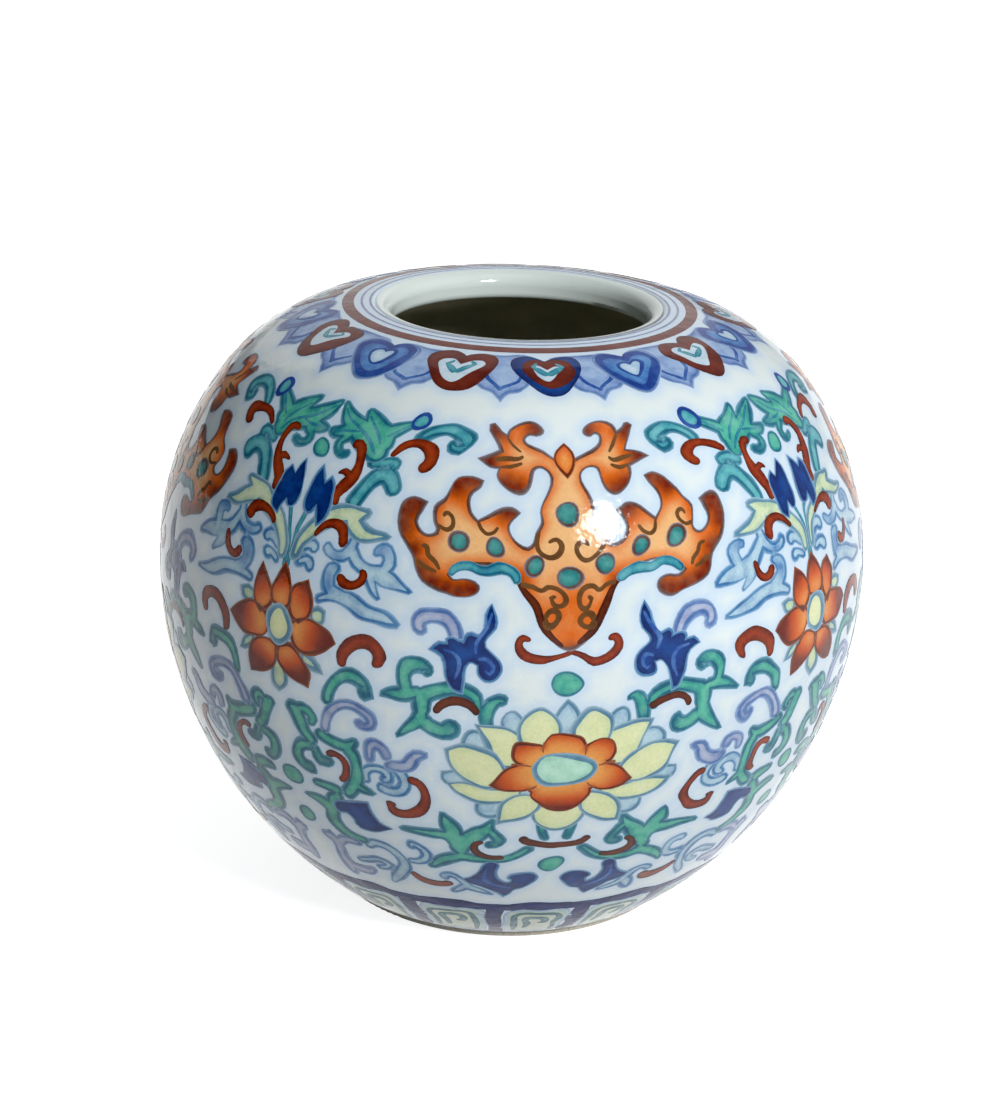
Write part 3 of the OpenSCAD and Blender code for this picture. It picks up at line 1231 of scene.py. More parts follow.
    def leaves(self) -> list[Wash]:
        """Leaf scrolls between the bat and the lotus, and below the lotus.

        Returns:
            The washes.
        """
        cobalt = [
            [(8.8, 60.6), (9.7, 59.4), (10.1, 57.9), (10.7, 57.1), (11.7, 57.4), (12.3, 56.8), (12.3, 56.3),
             (13.3, 56.7), (14.2, 56.2), (14.2, 55.6), (15.2, 55.7), (16.2, 54.9), (15, 54.3), (14.4, 53),
             (14, 51.2), (13.3, 50), (12.4, 49.8), (12.3, 51.2), (12.2, 52.6), (11.4, 53.6), (10.4, 53.4),
             (10.5, 52.4), (9.8, 51.6), (8.8, 51.6), (7.9, 52.6), (8, 54.2), (9, 55.2), (9.6, 55.8),
             (9.4, 56.8), (8.7, 57.8), (8.5, 59.2)],
            [(1.5, 20.8), (2.1, 21.6), (3.5, 21.9), (4.8, 21.6), (5.2, 20.9), (4.6, 20.3), (4.8, 19.6),
             (5.6, 20), (6.4, 20.8), (6.7, 22), (6.6, 23.6), (7.6, 24), (8.3, 23.4), (8.5, 21.8),
             (9.2, 20.7), (10.2, 20.1), (9.2, 19.1), (7.8, 18.5), (6.6, 17.4), (5.2, 16), (4.5, 16.8),
             (4.1, 17.8), (2.9, 18.4), (1.9, 19.4)]]
        marks = [
            [(8.9, 59.6, .2), (9.8, 58, .5), (10.8, 56.2, .6), (10.6, 54.8, .3)],
            [(14.8, 55, .2), (13.4, 54.6, .5), (12.9, 53, .5), (13.2, 51.2, .2)],
            [(10.3, 54.1, .3), (9.3, 54.2, .5), (8.7, 53.3, .5), (9.1, 52.5, .4), (9.7, 52.9, .3)],
            [(4.4, 18.4, .3), (6, 19, .5), (7.6, 20.4, .5), (7.8, 22.4, .2)]]
        lavender = [
            (13, 56.2, 1.2), (13.4, 57.8, 1.4), (14.6, 58.9, 1.5), (16.2, 59, 1.5), (17.3, 58.2, 1.5),
            (17.4, 57.2, 1.3), (16.7, 57, .9)]
        upper = [
            [(10.2, 47.6, .9), (10.6, 49.2, 1.2), (12.6, 50.1, 1.3), (14.8, 49.9, 1.5), (16.8, 49, 2),
             (17.2, 47.6, 2), (17, 46.2, 1.6)],
            [(16.8, 49.6, 1.6), (18.6, 49.4, 1.6), (20.4, 49, 1.2), (22, 48.5, .3)],
            [(18.6, 49.6, 1.6), (19.2, 51.2, 1.7), (18.6, 52.5, 1.6), (17.4, 52.9, 1.4), (16.4, 52.5, 1.2),
             (16.1, 51.9, .9)],
            [(17, 47.2, 1.6), (17.4, 45.8, 1.9), (18.4, 44.6, 1.5), (19.8, 43.4, .3)],
            [(16.8, 46, 1.4), (15.4, 44.9, 1.6), (13.8, 45, 1.7), (13.3, 46.2, 1.2)],
            [(7.2, 49.1, .6), (8, 49.3, .9), (8.9, 48.6, 1.4), (9.2, 47.2, 1.4), (9.2, 45.8, .9)]]
        spray = [
            [(1.9, 31.6, .9), (1.7, 30.2, 1), (1.4, 28.8, .9)],
            [(7.9, 32, .3), (8.4, 30.6, 1.4), (9.4, 29.4, 2.2), (10.6, 28, 2.6), (11.2, 26.6, 2.2),
             (11, 25.4, 1.6)],
            [(13.9, 32.3, .3), (13.2, 31, 1.6), (12.4, 29.6, 2), (11.8, 28.2, 2), (11.2, 26.8, 1.8)],
            [(18.8, 29.1, .4), (16.8, 28.9, 1), (14.8, 28.9, 1.5), (13, 28.8, 1.6), (11.8, 27.8, 1.2)],
            [(14.4, 21.9, .5), (13.8, 23.2, 1.4), (12.6, 24.4, 1.7), (11, 24.9, 1.5), (9.4, 24.6, 1.3),
             (7.6, 24.5, 1.2), (5.8, 24.9, 1.1), (4.2, 25.9, 1), (3, 27.2, .9)],
            [(8.2, 30.4, 1.2), (7.2, 29.2, 1.1), (6.8, 28.2, 1.2), (7.4, 27.6, 1.2), (8.2, 27.8, .9)]]
        arcs = [
            [(15.4, 46.9, 1), (14.5, 48.3, 1.1), (12.8, 48.9, 1), (11.2, 48.5, .9), (10, 47.6, .8)],
            [(4.2, 29.2, 1), (3.6, 28.4, 1.1), (2, 27.8, 1), (0, 27.6, 1), (-.7, 27.6, 1)],
            [(8.6, 28, .7), (9.5, 27.5, 1), (9.6, 26.5, 1.1), (8.8, 25.6, 1.1), (7.2, 25.1, 1),
             (5.6, 25.4, .8)]]
        curl_tips = tips(
            [(16.2, 52), (13.4, 46.2), (7.6, 27.8), (22, 48.5), (8.6, 46), (1.6, 29)], 1.4, 0.8)
        return [
            Wash(Paint.GREEN, upper + spray, Paint.TEAL_LINE, shade=curl_tips),
            Wash(Paint.COBALT, cobalt, Paint.FROND_LINE, 0.3, level=2),
            Wash(Paint.HEART_BLUE, marks, level=4),
            Wash(Paint.LAVENDER, [lavender], Paint.BLUE_LINE),
            Wash(Paint.DARK_RED, arcs, level=2),
            Wash(Paint.GREEN, [dot(0, 51.3, 1.7, 1.5), dot(0, 23.8, 1.5)], Paint.TEAL_LINE, 0.3),
        ]

    def lotus(self) -> list[Wash]:
        """The yellow lotus with an orange heart and a mint centre.

        Returns:
            The washes.
        """
        back = [
            [(0, 49.2), (.9, 48.2), (1.3, 47), (1.2, 45.4), (0, 44.8)],
            [(4.6, 45), (5, 46.8), (5.9, 47.9), (7, 47.6), (7.4, 46), (6.4, 44.4)],
            [(8.8, 42.4), (9.6, 44.4), (11, 45), (12.1, 44.2), (11.8, 42.4), (10.4, 41.6)],
            [(10.8, 38), (12.4, 39.4), (14.2, 39), (14.1, 38), (12.6, 37.2), (11, 37)],
            [(6.4, 35.4), (6.8, 33.6), (7.6, 32.6), (8.9, 32.7), (9.8, 33.8), (9.8, 35.4)]]
        outer = [
            [(.6, 45), (.9, 46.6), (2, 47.8), (3.3, 48.2), (4.7, 47.2), (5.5, 45.6), (5.2, 43.6),
             (3.2, 42.8), (1.4, 43.4)],
            [(5.2, 44.4), (6.6, 45.5), (8.5, 46.1), (10.3, 46), (9.9, 44.2), (9, 42.3), (7.8, 40.6),
             (6, 40.2), (5, 42.2)],
            [(7, 40), (8.3, 41.8), (10.4, 42.7), (12.4, 43), (13.9, 42.3), (13.1, 40.3), (11.5, 38.4),
             (9.6, 37.5), (7.8, 37.7), (6.8, 38.8)],
            [(4.6, 37), (7, 37.2), (9.4, 37.5), (11.4, 37.8), (13.2, 37.5), (12.2, 36.2), (10.4, 35.1),
             (8.4, 34.7), (6.4, 35.2), (4.8, 36)],
            [(2.8, 36.2), (4.8, 36.3), (6.6, 35.2), (7.3, 33.6), (7.2, 31.6), (5.2, 32), (3.4, 32.9),
             (2.5, 34.4)],
            [(0, 34.6), (2.6, 34.8), (3.1, 33.4), (2.6, 31.9), (1.4, 30.9), (0, 30.6)]]
        heart = [
            [(0, 44.8), (1.4, 44.7), (2, 44.1), (2.3, 43.3), (2, 42.6), (0, 42.3)],
            [(2.3, 43.4), (3.6, 43.8), (5.2, 43.9), (6, 43.6), (6.2, 42.6), (5.9, 41.4), (5.3, 40.7),
             (3.6, 41.4), (2.6, 42.4)],
            [(4.2, 40.6), (5.8, 40.3), (7.2, 39.5), (8.5, 38), (7.2, 37.2), (5.4, 36.9), (3.8, 37.3),
             (3.6, 38.8)],
            [(0, 37.6), (3, 37.4), (3.4, 36.5), (2.6, 35.1), (1.5, 34.1), (0, 33.7)]]
        seams = [
            [(2.3, 43.9, .25), (2.4, 43, .3), (2.2, 42.2, .15)],
            [(6.2, 40.6, .3), (5.2, 40.5, .35), (4, 40.3, .15)],
            [(3.9, 37.3, .25), (3.3, 37.5, .3), (2.9, 37.9, .15)]]
        return [
            Wash(Paint.PALE, [dot(0, 39.7, 10.4, 6.8), *back], Paint.SLATE_LINE, 0.45),
            *(Wash(Paint.YELLOW, [petal], Paint.SLATE_LINE, 0.5, level=2) for petal in outer[1::2]),
            *(Wash(Paint.YELLOW, [petal], Paint.SLATE_LINE, 0.5, level=4) for petal in outer[::2]),
            Wash(Paint.PETAL, [*heart, dot(0, 39.8, 5.4, 3.6)], Paint.BROWN_LINE, 0.36, level=6,
                 shade=fade(0, 40, 4.2, 9, tall=1.6)),
            Wash(Paint.BROWN_LINE, seams, level=8),
            Wash(Paint.MINT, [dot(0, 39.9, 3.6, 2.15)], Paint.SLATE_LINE, 0.6, level=9),
        ]

    def paint(self, painter: Painter) -> None:
        """Paints the panel on each side."""
        painter.paint(self.bat() + self.leaves() + self.lotus(), around(self.count))


@dataclass
class LotusPanel:
    """An orange flower in leaf scrolls under a pair of cobalt buds, between the bat panels.

    Attributes:
        count: how many panels go round.
    """

    count: int = 4

    def crown(self) -> list[Wash]:
        """Leaves, curls and buds above the flower.

        Returns:
            The washes.
        """
        acanthus = [
            [(.3, 82, .4), (1.6, 80.6, 1.8), (3.4, 79.2, 2.6), (5.4, 78.2, 3), (7.2, 77, 2.6),
             (8, 75.6, 1.4)],
            [(3.7, 82, .4), (4.8, 80.8, 1.6), (6.2, 79.6, 2.2), (7.4, 78.2, 2.4), (7.8, 76.8, 2)],
            [(.2, 78.2, .5), (1.4, 78.1, 1.3), (2.8, 78.3, 1.6), (4.4, 78.4, 1.8)],
            [(3.4, 78, 1.2), (2.4, 77, .9), (2.6, 76, .9), (3.6, 75.6, .9), (4.3, 76, .8)],
            [(7, 78.8, 2), (8.4, 79.8, 1.6), (9.6, 80.6, 1.2), (10.4, 81.2, .9)]]
        veins = [
            [(.9, 81.3, .2), (3, 79.5, .4), (5.6, 78, .4), (7.4, 76.4, .25)],
            [(4.4, 81, .2), (6.1, 79.2, .4), (7.2, 77.6, .25)],
            [(1.2, 78.2, .2), (3, 78.3, .35), (4.2, 78.5, .2)],
            [(7.4, 78.7, .25), (8.9, 80, .35), (9.8, 80.8, .2)]]
        bulb = [(9.6, 81), (9.8, 82.2), (10.6, 82.7), (11.4, 82.2), (11.7, 81), (11, 80.3), (10.2, 80.4)]
        curls = [
            [(11.9, 78.6, 1), (12.3, 79.6, 1.2), (13.4, 80.6, 1.4), (15, 80.9, 1.5), (16.6, 80.3, 1.5),
             (17.4, 79.2, 1.4), (17, 78.3, 1.1), (16, 78.6, 1), (15.6, 79.2, .9)],
            [(6.8, 69.6, 1.4), (7.4, 71.4, 1.6), (8.2, 73, 1.6), (9.4, 74, 1.7), (10.6, 73.8, 1.7),
             (11.4, 72.9, 1.6), (11.6, 72, 1.2)],
            [(7.4, 75, 1), (8.6, 75.4, 1.3), (10, 75.6, 1.2), (10.6, 74.8, 1.2)]]
        red = [
            [(9.2, 76.5, .7), (10, 77.6, 1.1), (11.6, 78.3, 1.1), (13.2, 78, 1.3), (14.2, 77.1, 1.5),
             (14.1, 76.1, 1.4), (13.3, 75.9, 1)],
            [(4.1, 77.1, 1), (5, 77.2, 1.1), (5.9, 76.2, 1.1), (6.3, 74.8, 1.1), (6, 73.4, 1.4),
             (5.2, 72, 1.6), (4.6, 70.6, 1.4), (4.8, 69.3, .9)],
            [(3.8, 73.3, .3), (4.6, 73.6, .8), (5.4, 73.2, .9)],
            [(3, 65.8, .6), (4, 66.8, .9), (5.4, 67.1, 1.1), (6.8, 66.6, 1.4), (7.2, 65.8, 1.5),
             (6.6, 65.5, 1)],
            [(7.8, 62, .9), (8, 61.2, 1.2), (9.2, 60.8, 1.1), (10.2, 61.4, 1.1), (10.5, 62.4, 1),
             (10.4, 63.1, .8)]]
        buds = [
            (.7, 71.6), (.9, 72.8), (1.3, 73.8), (2, 72.9), (2.5, 72), (3.2, 72.8), (3.9, 72), (4.2, 70.4),
            (4.2, 68.8), (3.8, 67.4), (2.9, 66.8), (2.6, 67.7), (2.2, 68.8), (1.6, 67.9), (.9, 68.1),
            (.5, 69.4), (.6, 70.6)]
        sprouts = [
            [(.9, 62.4, .9), (1.2, 64.4, 1.2), (2.4, 66.2, 1.6), (4.2, 67.6, 2), (6.2, 68.5, 2.2),
             (7.8, 69.1, 1.7), (9.3, 69.8, .5)],
            [(6.4, 68.2, 2), (8.4, 67.7, 1.9), (10.2, 67, 1.4), (12.4, 66.7, .3)]]
        stems = [[(.3, 61.2, .5), (.3, 63.6, .5), (.5, 65.6, .5), (1.2, 68, .6)]]
        fronds = [
            [(5, 65, .9), (5.7, 64.2, 1.2), (6.9, 64, 1.3), (8, 64.6, 1.3), (8.6, 65.8, 1.2),
             (8.8, 67, .9)],
            [(1.4, 63.4, .9), (2.2, 64.3, 1.1), (3.2, 64.6, 1.4), (3.9, 63.7, 1.1)],
            [(1.4, 61.8, .9), (2.3, 62.4, 1.1), (3.2, 62.3, 1.3), (3.6, 61.4, 1)],
            [(8.4, 66.6, .5), (8.8, 65.2, 1.2), (9.6, 63.9, 1.4), (10.9, 63, 1.6), (12.4, 62.6, 1.9),
             (14.2, 62.1, 1.8), (15.6, 61.7, 1.1), (16.9, 61.2, .3)],
            [(11.3, 64.9, 1), (12, 65.4, 1.2), (13, 65.1, 1.4), (13.4, 64.1, 1.5), (13.1, 62.9, 1.4)],
            [(10.8, 62.6, 1.3), (11.8, 61.4, 1.3), (13.2, 60, .3)],
            [(5.2, 58.4, .8), (6.8, 59, 1.3), (8.6, 59.2, 1.6), (10.2, 59, 1.6), (11.8, 58.3, 1.7),
             (13.6, 57.7, 1.4), (15.9, 57.1, .3)],
            [(7.6, 62.8, 1), (6.6, 62.2, 1.4), (6.3, 61, 1.5), (6.9, 59.9, 1.5), (8.4, 59.5, 1.3)]]
        return [
            Wash(Paint.PALE, fronds, Paint.FROND_LINE, 0.45,
                 shade=tips([(6.4, 61), (7, 63.6), (12.2, 65.2)], 1.4, 0.8)),
            Wash(Paint.SPROUT, sprouts, Paint.SLATE_LINE, level=2),
            Wash(Paint.TEAL, curls, Paint.TEAL_LINE),
            Wash(Paint.GREEN, acanthus, Paint.TEAL_LINE, level=2,
                 shade=tips([(3.4, 75.6), (.3, 78.2)], 1.4, 0.8)),
            Wash(Paint.TEAL, veins, level=4),
            Wash(Paint.TEAL, [bulb], Paint.HEART_LINE, 0.5, level=4),
            Wash(Paint.TEAL, stems, level=1),
            Wash(Paint.COBALT, [buds], Paint.FROND_LINE, 0.3, level=4),
            Wash(Paint.RED, red, level=4),
            Wash(Paint.GREEN, [dot(0, 75.8, 1.2)], Paint.TEAL_LINE, 0.3),
        ]

    def flower(self) -> list[Wash]:
        """The orange flower.

        Returns:
            The washes.
        """
        small = [
            [(0, 46), (.9, 46.8), (1.1, 48.2), (.5, 49.6), (0, 50)],
            [(4.3, 57), (5.6, 57.4), (6.6, 57), (6.1, 55.8), (4.6, 56)],
            [(3.8, 51.8), (5.2, 51.2), (6, 49.9), (4.6, 50.2), (3.7, 50.8)]]
        petals = [
            [(0, 61.4), (.9, 60), (1.5, 58.4), (1.3, 56.9), (0, 56.4)],
            [(1.4, 57.9), (2.1, 59.2), (3.7, 60.3), (4.4, 58.2), (4.1, 56.3), (3, 55.1), (1.7, 56.2)],
            [(1.9, 54.8), (3.6, 55.8), (5.8, 55.5), (7.2, 54.7), (8.2, 53.6), (6.8, 52.5), (4.8, 51.8),
             (2.6, 52), (1.8, 53.2)],
            [(.15, 51.8), (1.8, 52), (3.6, 50.9), (4.6, 49.2), (4.4, 47.3), (2.6, 47.6), (1, 48.7),
             (.15, 50.2)]]
        return [
            Wash(Paint.SPROUT, small, Paint.SLATE_LINE, level=2),
            *(Wash(Paint.PETAL, [petal], Paint.BROWN_LINE, 0.45, level=4, shade=fade(0, 54.3, 2.2, 6.3))
              for petal in petals),
            Wash(Paint.YELLOW, [dot(0, 54.3, 1.75, 2.2)], Paint.SLATE_LINE, 0.7, level=6),
        ]

    def scrolls(self) -> list[Wash]:
        """Scrolls and leaves beside and below the flower.

        Returns:
            The washes.
        """
        red = [
            [(9.1, 50.9, .9), (9.4, 52.6, 1.4), (10.4, 54, 1.6), (12, 54.6, 1.6), (13.4, 54.1, 1.6),
             (13.9, 52.9, 1.5), (13.4, 51.9, 1.1)],
            [(6.1, 38.3, .9), (7, 38.9, 1), (8, 38.5, 1), (8.5, 37, 1), (8.2, 35.5, 1), (7.4, 34.8, .7)],
            [(16.2, 37, 1), (17.4, 36.8, 1.2), (18.2, 35.6, 1.2), (18.1, 34, 1.3), (17.1, 32.4, 1.3),
             (15.4, 31.4, 1.3), (13.9, 31.8, 1.4), (13.7, 32.9, 1.2), (14.3, 33.1, .8)],
            [(12.4, 19.8, .8), (13.4, 18.6, 1.3), (14.8, 18.1, 1.4), (16.2, 18.3, 1.3), (16.9, 19, .9)]]
        green = [
            [(7.2, 46, 1.1), (7.5, 47.8, 1.3), (8.6, 49.4, 1.4), (10.4, 50, 1.5), (11.9, 49.5, 1.5),
             (12.3, 48.6, 1.5), (11.5, 48.2, 1)],
            [(1, 44.1, .6), (2, 43.9, 1.6), (2.8, 42.4, 1.8), (3.4, 40.8, 1.6), (4.6, 39.8, 1.4)],
            [(2.6, 44.2, 1), (4, 44.2, 1.1), (4.6, 43.3, 1.1), (4, 42.6, .8)],
            [(5, 41.8, 1.4), (6.4, 41, 1.5), (8, 40.6, 1.5), (9.2, 40.6, 1.3), (10.4, 41.5, .5)],
            [(8.8, 40.4, 1.4), (9.8, 38.8, 1.5), (10, 37, 1.5), (9.5, 35.2, 1.6), (8.6, 33.8, 1.6),
             (7.4, 32.8, 1.4)],
            [(9.2, 35, 1.2), (10.4, 34.4, 1), (11.6, 33.9, .3)],
            [(4, 39.4, 1.2), (2.4, 38.8, 1.4), (1.8, 37.2, 1.5), (2.4, 35.9, 1.5), (3.4, 35.7, 1.3),
             (3.8, 36.4, .9)],
            [(4.4, 39.4, 1), (4.8, 38, 1.2), (5.6, 37.2, 1.3), (6.6, 37.6, 1.1)],
            [(3, 33.5, .7), (4.4, 33.6, 1.3), (5.6, 33.4, 1.6), (6.8, 32.8, 1.6)],
            [(6.6, 32.4, 1.5), (5.4, 31, 1.5), (4.8, 29.4, 1.7), (4.6, 27.6, 1.8), (5.4, 26, 1.6),
             (7, 25, 1.3), (8.4, 24.6, .9)],
            [(1.1, 30.7, .4), (2.4, 30.7, 1.1), (3.8, 30.2, 1.6), (4.6, 29.2, 1.6)]]
        cobalt = [
            (5.8, 31), (7.4, 31.7), (9.2, 32.1), (10.6, 32.2), (10.6, 30.8), (11.2, 29.2), (12.6, 28.2),
            (11, 27.5), (9.2, 27.4), (7.9, 27.8), (7.6, 28.9), (6.8, 29.5), (5.8, 29.2), (5.3, 30)]
        lavender = [
            [(6.2, 42, 1.4), (6.8, 43.8, 1.3), (8, 45.4, 1.2), (9.8, 46.3, 1.1), (11.6, 46, 1.1),
             (12.7, 45.1, 1.1), (12.7, 44.1, 1.1), (11.8, 43.8, 1.1), (11.2, 44.5, .9)],
            [(12, 39.2, 1), (12, 40.6, 1.1), (12.8, 41.4, 1.1), (13.8, 41, 1.1), (14.2, 39.8, 1.1)],
            [(14, 39, 1.4), (15.6, 38.9, 1.7), (17, 39.6, 1.6), (18, 41, 1.2), (19.1, 41.4, .4)],
            [(1.6, 23.4, 1.2), (2.6, 23.8, 1.8), (3.1, 22.2, 1.5), (3.1, 20, 1.3), (3.2, 17.8, 1.5),
             (3, 15.8, .7)],
            [(3.4, 22.6, 1.3), (4.6, 23.9, 1.3), (6, 24.2, 1.2), (7.2, 23.8, .6)],
            [(3.4, 17.6, 1.6), (4.8, 17.8, 1.7), (6, 18, 1.3), (6.8, 18.6, .5)]]
        pale = [
            [(10.9, 35.6, .9), (11.2, 37.2, 1.1), (12.4, 38.1, 1.2), (13.8, 37.6, 1.2), (13.9, 36.4, 1.1),
             (13, 36.1, .8)],
            [(12.2, 35.2, 1.2), (13.8, 34.8, 1.2), (15.2, 35.2, 1.2), (15.9, 36.4, 1.2), (15.5, 37.8, 1.3),
             (14.4, 38.8, 1.3)],
            [(8, 23.6, 1), (9.2, 24.6, 1.2), (10.8, 24.4, 1.3), (11.8, 23, 1.4), (12, 21.2, 1.4),
             (11.2, 19.4, 1.4), (10, 17.8, 1.3), (9, 16.2, .5)],
            [(5.4, 20.2, .7), (7.2, 20.6, 1), (9, 21.3, 1.1), (10, 20.6, 1.1), (9.4, 19.6, 1),
             (8, 19.2, .9)],
            [(12.8, 22.8, .9), (14.4, 22.8, 1.1), (15.8, 23.8, 1.2), (15.8, 25.4, 1.2), (14.6, 25.9, 1.1),
             (14.1, 25.2, .8)],
            [(16.3, 19.6, .8), (16.9, 20.5, .9), (18, 20.6, 1), (18.6, 19.4, 1.2), (19, 18, 1.4),
             (20.2, 17.2, 1.2), (21.4, 16.5, .4)],
            [(18.6, 18.6, 1.2), (17.6, 17.2, 1.1), (16.6, 16, .4)]]
        return [
            Wash(Paint.PALE, pale, Paint.FROND_LINE, 0.45),
            Wash(Paint.LAVENDER, lavender, Paint.BLUE_LINE, level=2,
                 shade=tips([(11.4, 44.4), (13.6, 39.4)], 1.3)),
            Wash(Paint.GREEN, green, Paint.TEAL_LINE, level=2,
                 shade=tips([(11.6, 48.4), (3.6, 36.2), (6, 37.4)], 1.3)),
            Wash(Paint.COBALT, [cobalt], Paint.FROND_LINE, 0.3, level=4),
            Wash(Paint.RED, red, level=4),
            Wash(Paint.GREEN, [dot(0, 33.6, 1.35), dot(0, 26.9, 1.2)], Paint.TEAL_LINE, 0.3),
        ]

    def paint(self, painter: Painter) -> None:
        """Paints the panel half way between the bats."""
        painter.paint(self.crown() + self.flower() + self.scrolls(), around(self.count, 0.5))


class Heart(Enum):
    """Colourings of the collar's heads."""

    RED = "red"
    BLUE = "blue"
    CLOSING = "closing"


@dataclass
class RuyiCollar:
    """Heart-shaped heads round the shoulder, red and blue by turns, over pale petals.

    Attributes:
        count: how many heads go round. A head of both colours closes the row at the front and at the back.
        start: turn of the front head from the bat's axis, in degrees.
        foot: height up the wall of the heads' points.
        middle: height of a head's middle over its point.
    """

    count: int = 16
    start: float = -1.2
    foot: float = 85.8
    middle: float = 4.6

    def turns(self, kind: Heart) -> list[float]:
        """Finds the heads of one colouring.

        Args:
            kind: the colouring.

        Returns:
            Their angles.
        """
        right = [Heart.BLUE if k % 2 else Heart.RED for k in range(1, self.count // 2)]
        left = [Heart.RED if side is Heart.BLUE else Heart.BLUE for side in right]
        kinds = [Heart.CLOSING, *right, Heart.CLOSING, *left]
        return [self.angle(k) for k in range(self.count) if kinds[k] is kind]

    def angle(self, step: float) -> float:
        """Angle of a place in the row, counted in heads from the front."""
        return math.radians(self.start) + step * math.tau / self.count

    def heart(self, grow: float) -> list[Knot]:
        """Draws a head, grown or shrunk about its middle.

        Args:
            grow: its size, where one is the middle of a red head's ring.

        Returns:
            Its half outline.
        """
        middle = self.foot + self.middle
        half = [
            (0, -3.8), (1.1, -3.4), (2.5, -2), (3.5, -0.2), (3.9, 1.2), (3.4, 2.5), (2.2, 3.1), (0.9, 2.8),
            (0, 2)]
        return [(x * grow, middle + y * grow) for x, y in half]

    def petals(self) -> list[Wash]:
        """Pale petals that show between the heads.

        Returns:
            The washes.
        """
        low = self.foot - 0.3
        petal = [
            (0, low), (1, low + 1.1), (2.4, low + 1.7), (3.6, low + 3.4), (4, low + 5.4), (3.8, low + 7.8),
            (0, low + 8.3)]
        fold = [(-.3, low + 1.4, .5), (1, low + 2.4, .5), (1.9, low + 3.2, .5), (2.2, low + 4.6, .4)]
        return [
            Wash(Paint.HEART_PETAL, [petal], Paint.BLUE_LINE, 0.4),
            Wash(Paint.HEART_BLUE, [fold], level=2),
        ]

    def heads(self, kind: Heart) -> list[Wash]:
        """A head in one colouring.

        Args:
            kind: the colouring.

        Returns:
            The washes.
        """
        mark = [
            (0, self.foot + 3.9, .7), (.8, self.foot + 4.7, .8), (1.6, self.foot + 5.6, .6),
            (1, self.foot + 6.2, .3)]
        if kind is Heart.RED:
            return [
                Wash(Paint.HEART_WHITE, [self.heart(0.9)], Paint.RIM_RED, 1.5, level=4),
                Wash(Paint.TEAL, [mark], level=6),
            ]
        if kind is Heart.BLUE:
            return [
                Wash(Paint.HEART_PETAL, [self.heart(1.12)], Paint.BLUE_LINE, 0.35, level=3),
                Wash(Paint.HEART_BLUE, [self.heart(0.92)], Paint.HEART_LINE, 0.9, level=5),
                Wash(Paint.HEART_WHITE, [self.heart(0.42)], Paint.HEART_LINE, 0.4, level=7),
            ]
        return [
            Wash(Paint.COBALT, [self.heart(1.08)], level=4),
            Wash(Paint.HEART_WHITE, [self.heart(0.6)], Paint.RIM_RED, 1.3, level=6),
            Wash(Paint.TEAL, [mark], level=8),
        ]

    def paint(self, painter: Painter) -> None:
        """Paints the petals, then the heads over them.

        Args:
            painter: the painter at the wall.
        """
        painter.paint(self.petals(), [self.angle(k + 0.5) for k in range(self.count)])
        for kind in Heart:
            painter.paint(self.heads(kind), self.turns(kind))


@dataclass
class FootBand:
    """Indigo band of lappets above the foot ring.

    Attributes:
        count: how many lappets go round.
        low: lower edge of the band, up the wall.
        high: its upper edge.
    """

    count: int = 18
    low: float = 11.4
    high: float = 13.4

    def paint(self, painter: Painter) -> None:
        """Paints the band, its posts and the lappets between them.

        Args:
            painter: the painter at the wall.
        """
        between, middles = around(self.count, 0.5), around(self.count)
        post = [(0, 12.2), (1.2, 12.2), (1.1, 8), (0.9, 4), (0.7, 1.4), (0, 1.2)]
        crown = [(0, 14), (2.4, 13.8), (4.4, 13.2), (4.6, 12.6), (0, 12.4)]
        field_shape = [(0, 11.1), (3.4, 11), (3.9, 10.3), (3.6, 6.4), (3.2, 2.8), (2.8, 1.8), (0, 1.6)]
        frame_lines = [[(2.3, 2.2, .5), (2.5, 5.6, .8), (2.6, 9.4, .8), (1.4, 10, .7), (-.2, 10, .7)]]
        key = [[(-1.1, 3.6, .5), (-1.1, 6, .9), (-1.2, 8.2, 1), (.2, 8.6, 1), (1.2, 8, 1), (1.1, 6.4, .9),
                (.2, 6, .6)]]
        painter.band(Paint.INDIGO, self.low, self.high, 0)
        painter.paint([
            Wash(Paint.LAPPET, [field_shape], Paint.PALE, 0.7),
            Wash(Paint.GREY_TEAL, frame_lines, level=2),
            Wash(Paint.GREY_TEAL, key, level=2, paired=False)], middles)
        painter.paint([Wash(Paint.INDIGO, [post], level=1)], between)
        painter.paint([Wash(Paint.INDIGO, [crown], level=1)], middles)


@dataclass
class MouthRings:
    """Iron-red ring and fine blue lines round the mouth.

    Attributes:
        red: lower and upper edge of the red ring, down the wall from the crest.
        lines: middles of the blue lines, down the wall from the crest.
        line_w: width of a blue line.
    """

    red: tuple[float, float] = (4.4, 2.9)
    lines: tuple[float, ...] = (1.9, 0.8)
    line_w: float = 0.3

    def paint(self, painter: Painter) -> None:
        """Paints the rings on the turning jar.

        Args:
            painter: the painter at the wall.
        """
        crest = painter.wall.length
        painter.band(Paint.RIM_RED, crest - self.red[0], crest - self.red[1], 0)
        for line in self.lines:
            painter.band(Paint.RIM_LINE, crest - line - self.line_w / 2, crest - line + self.line_w / 2, 0)


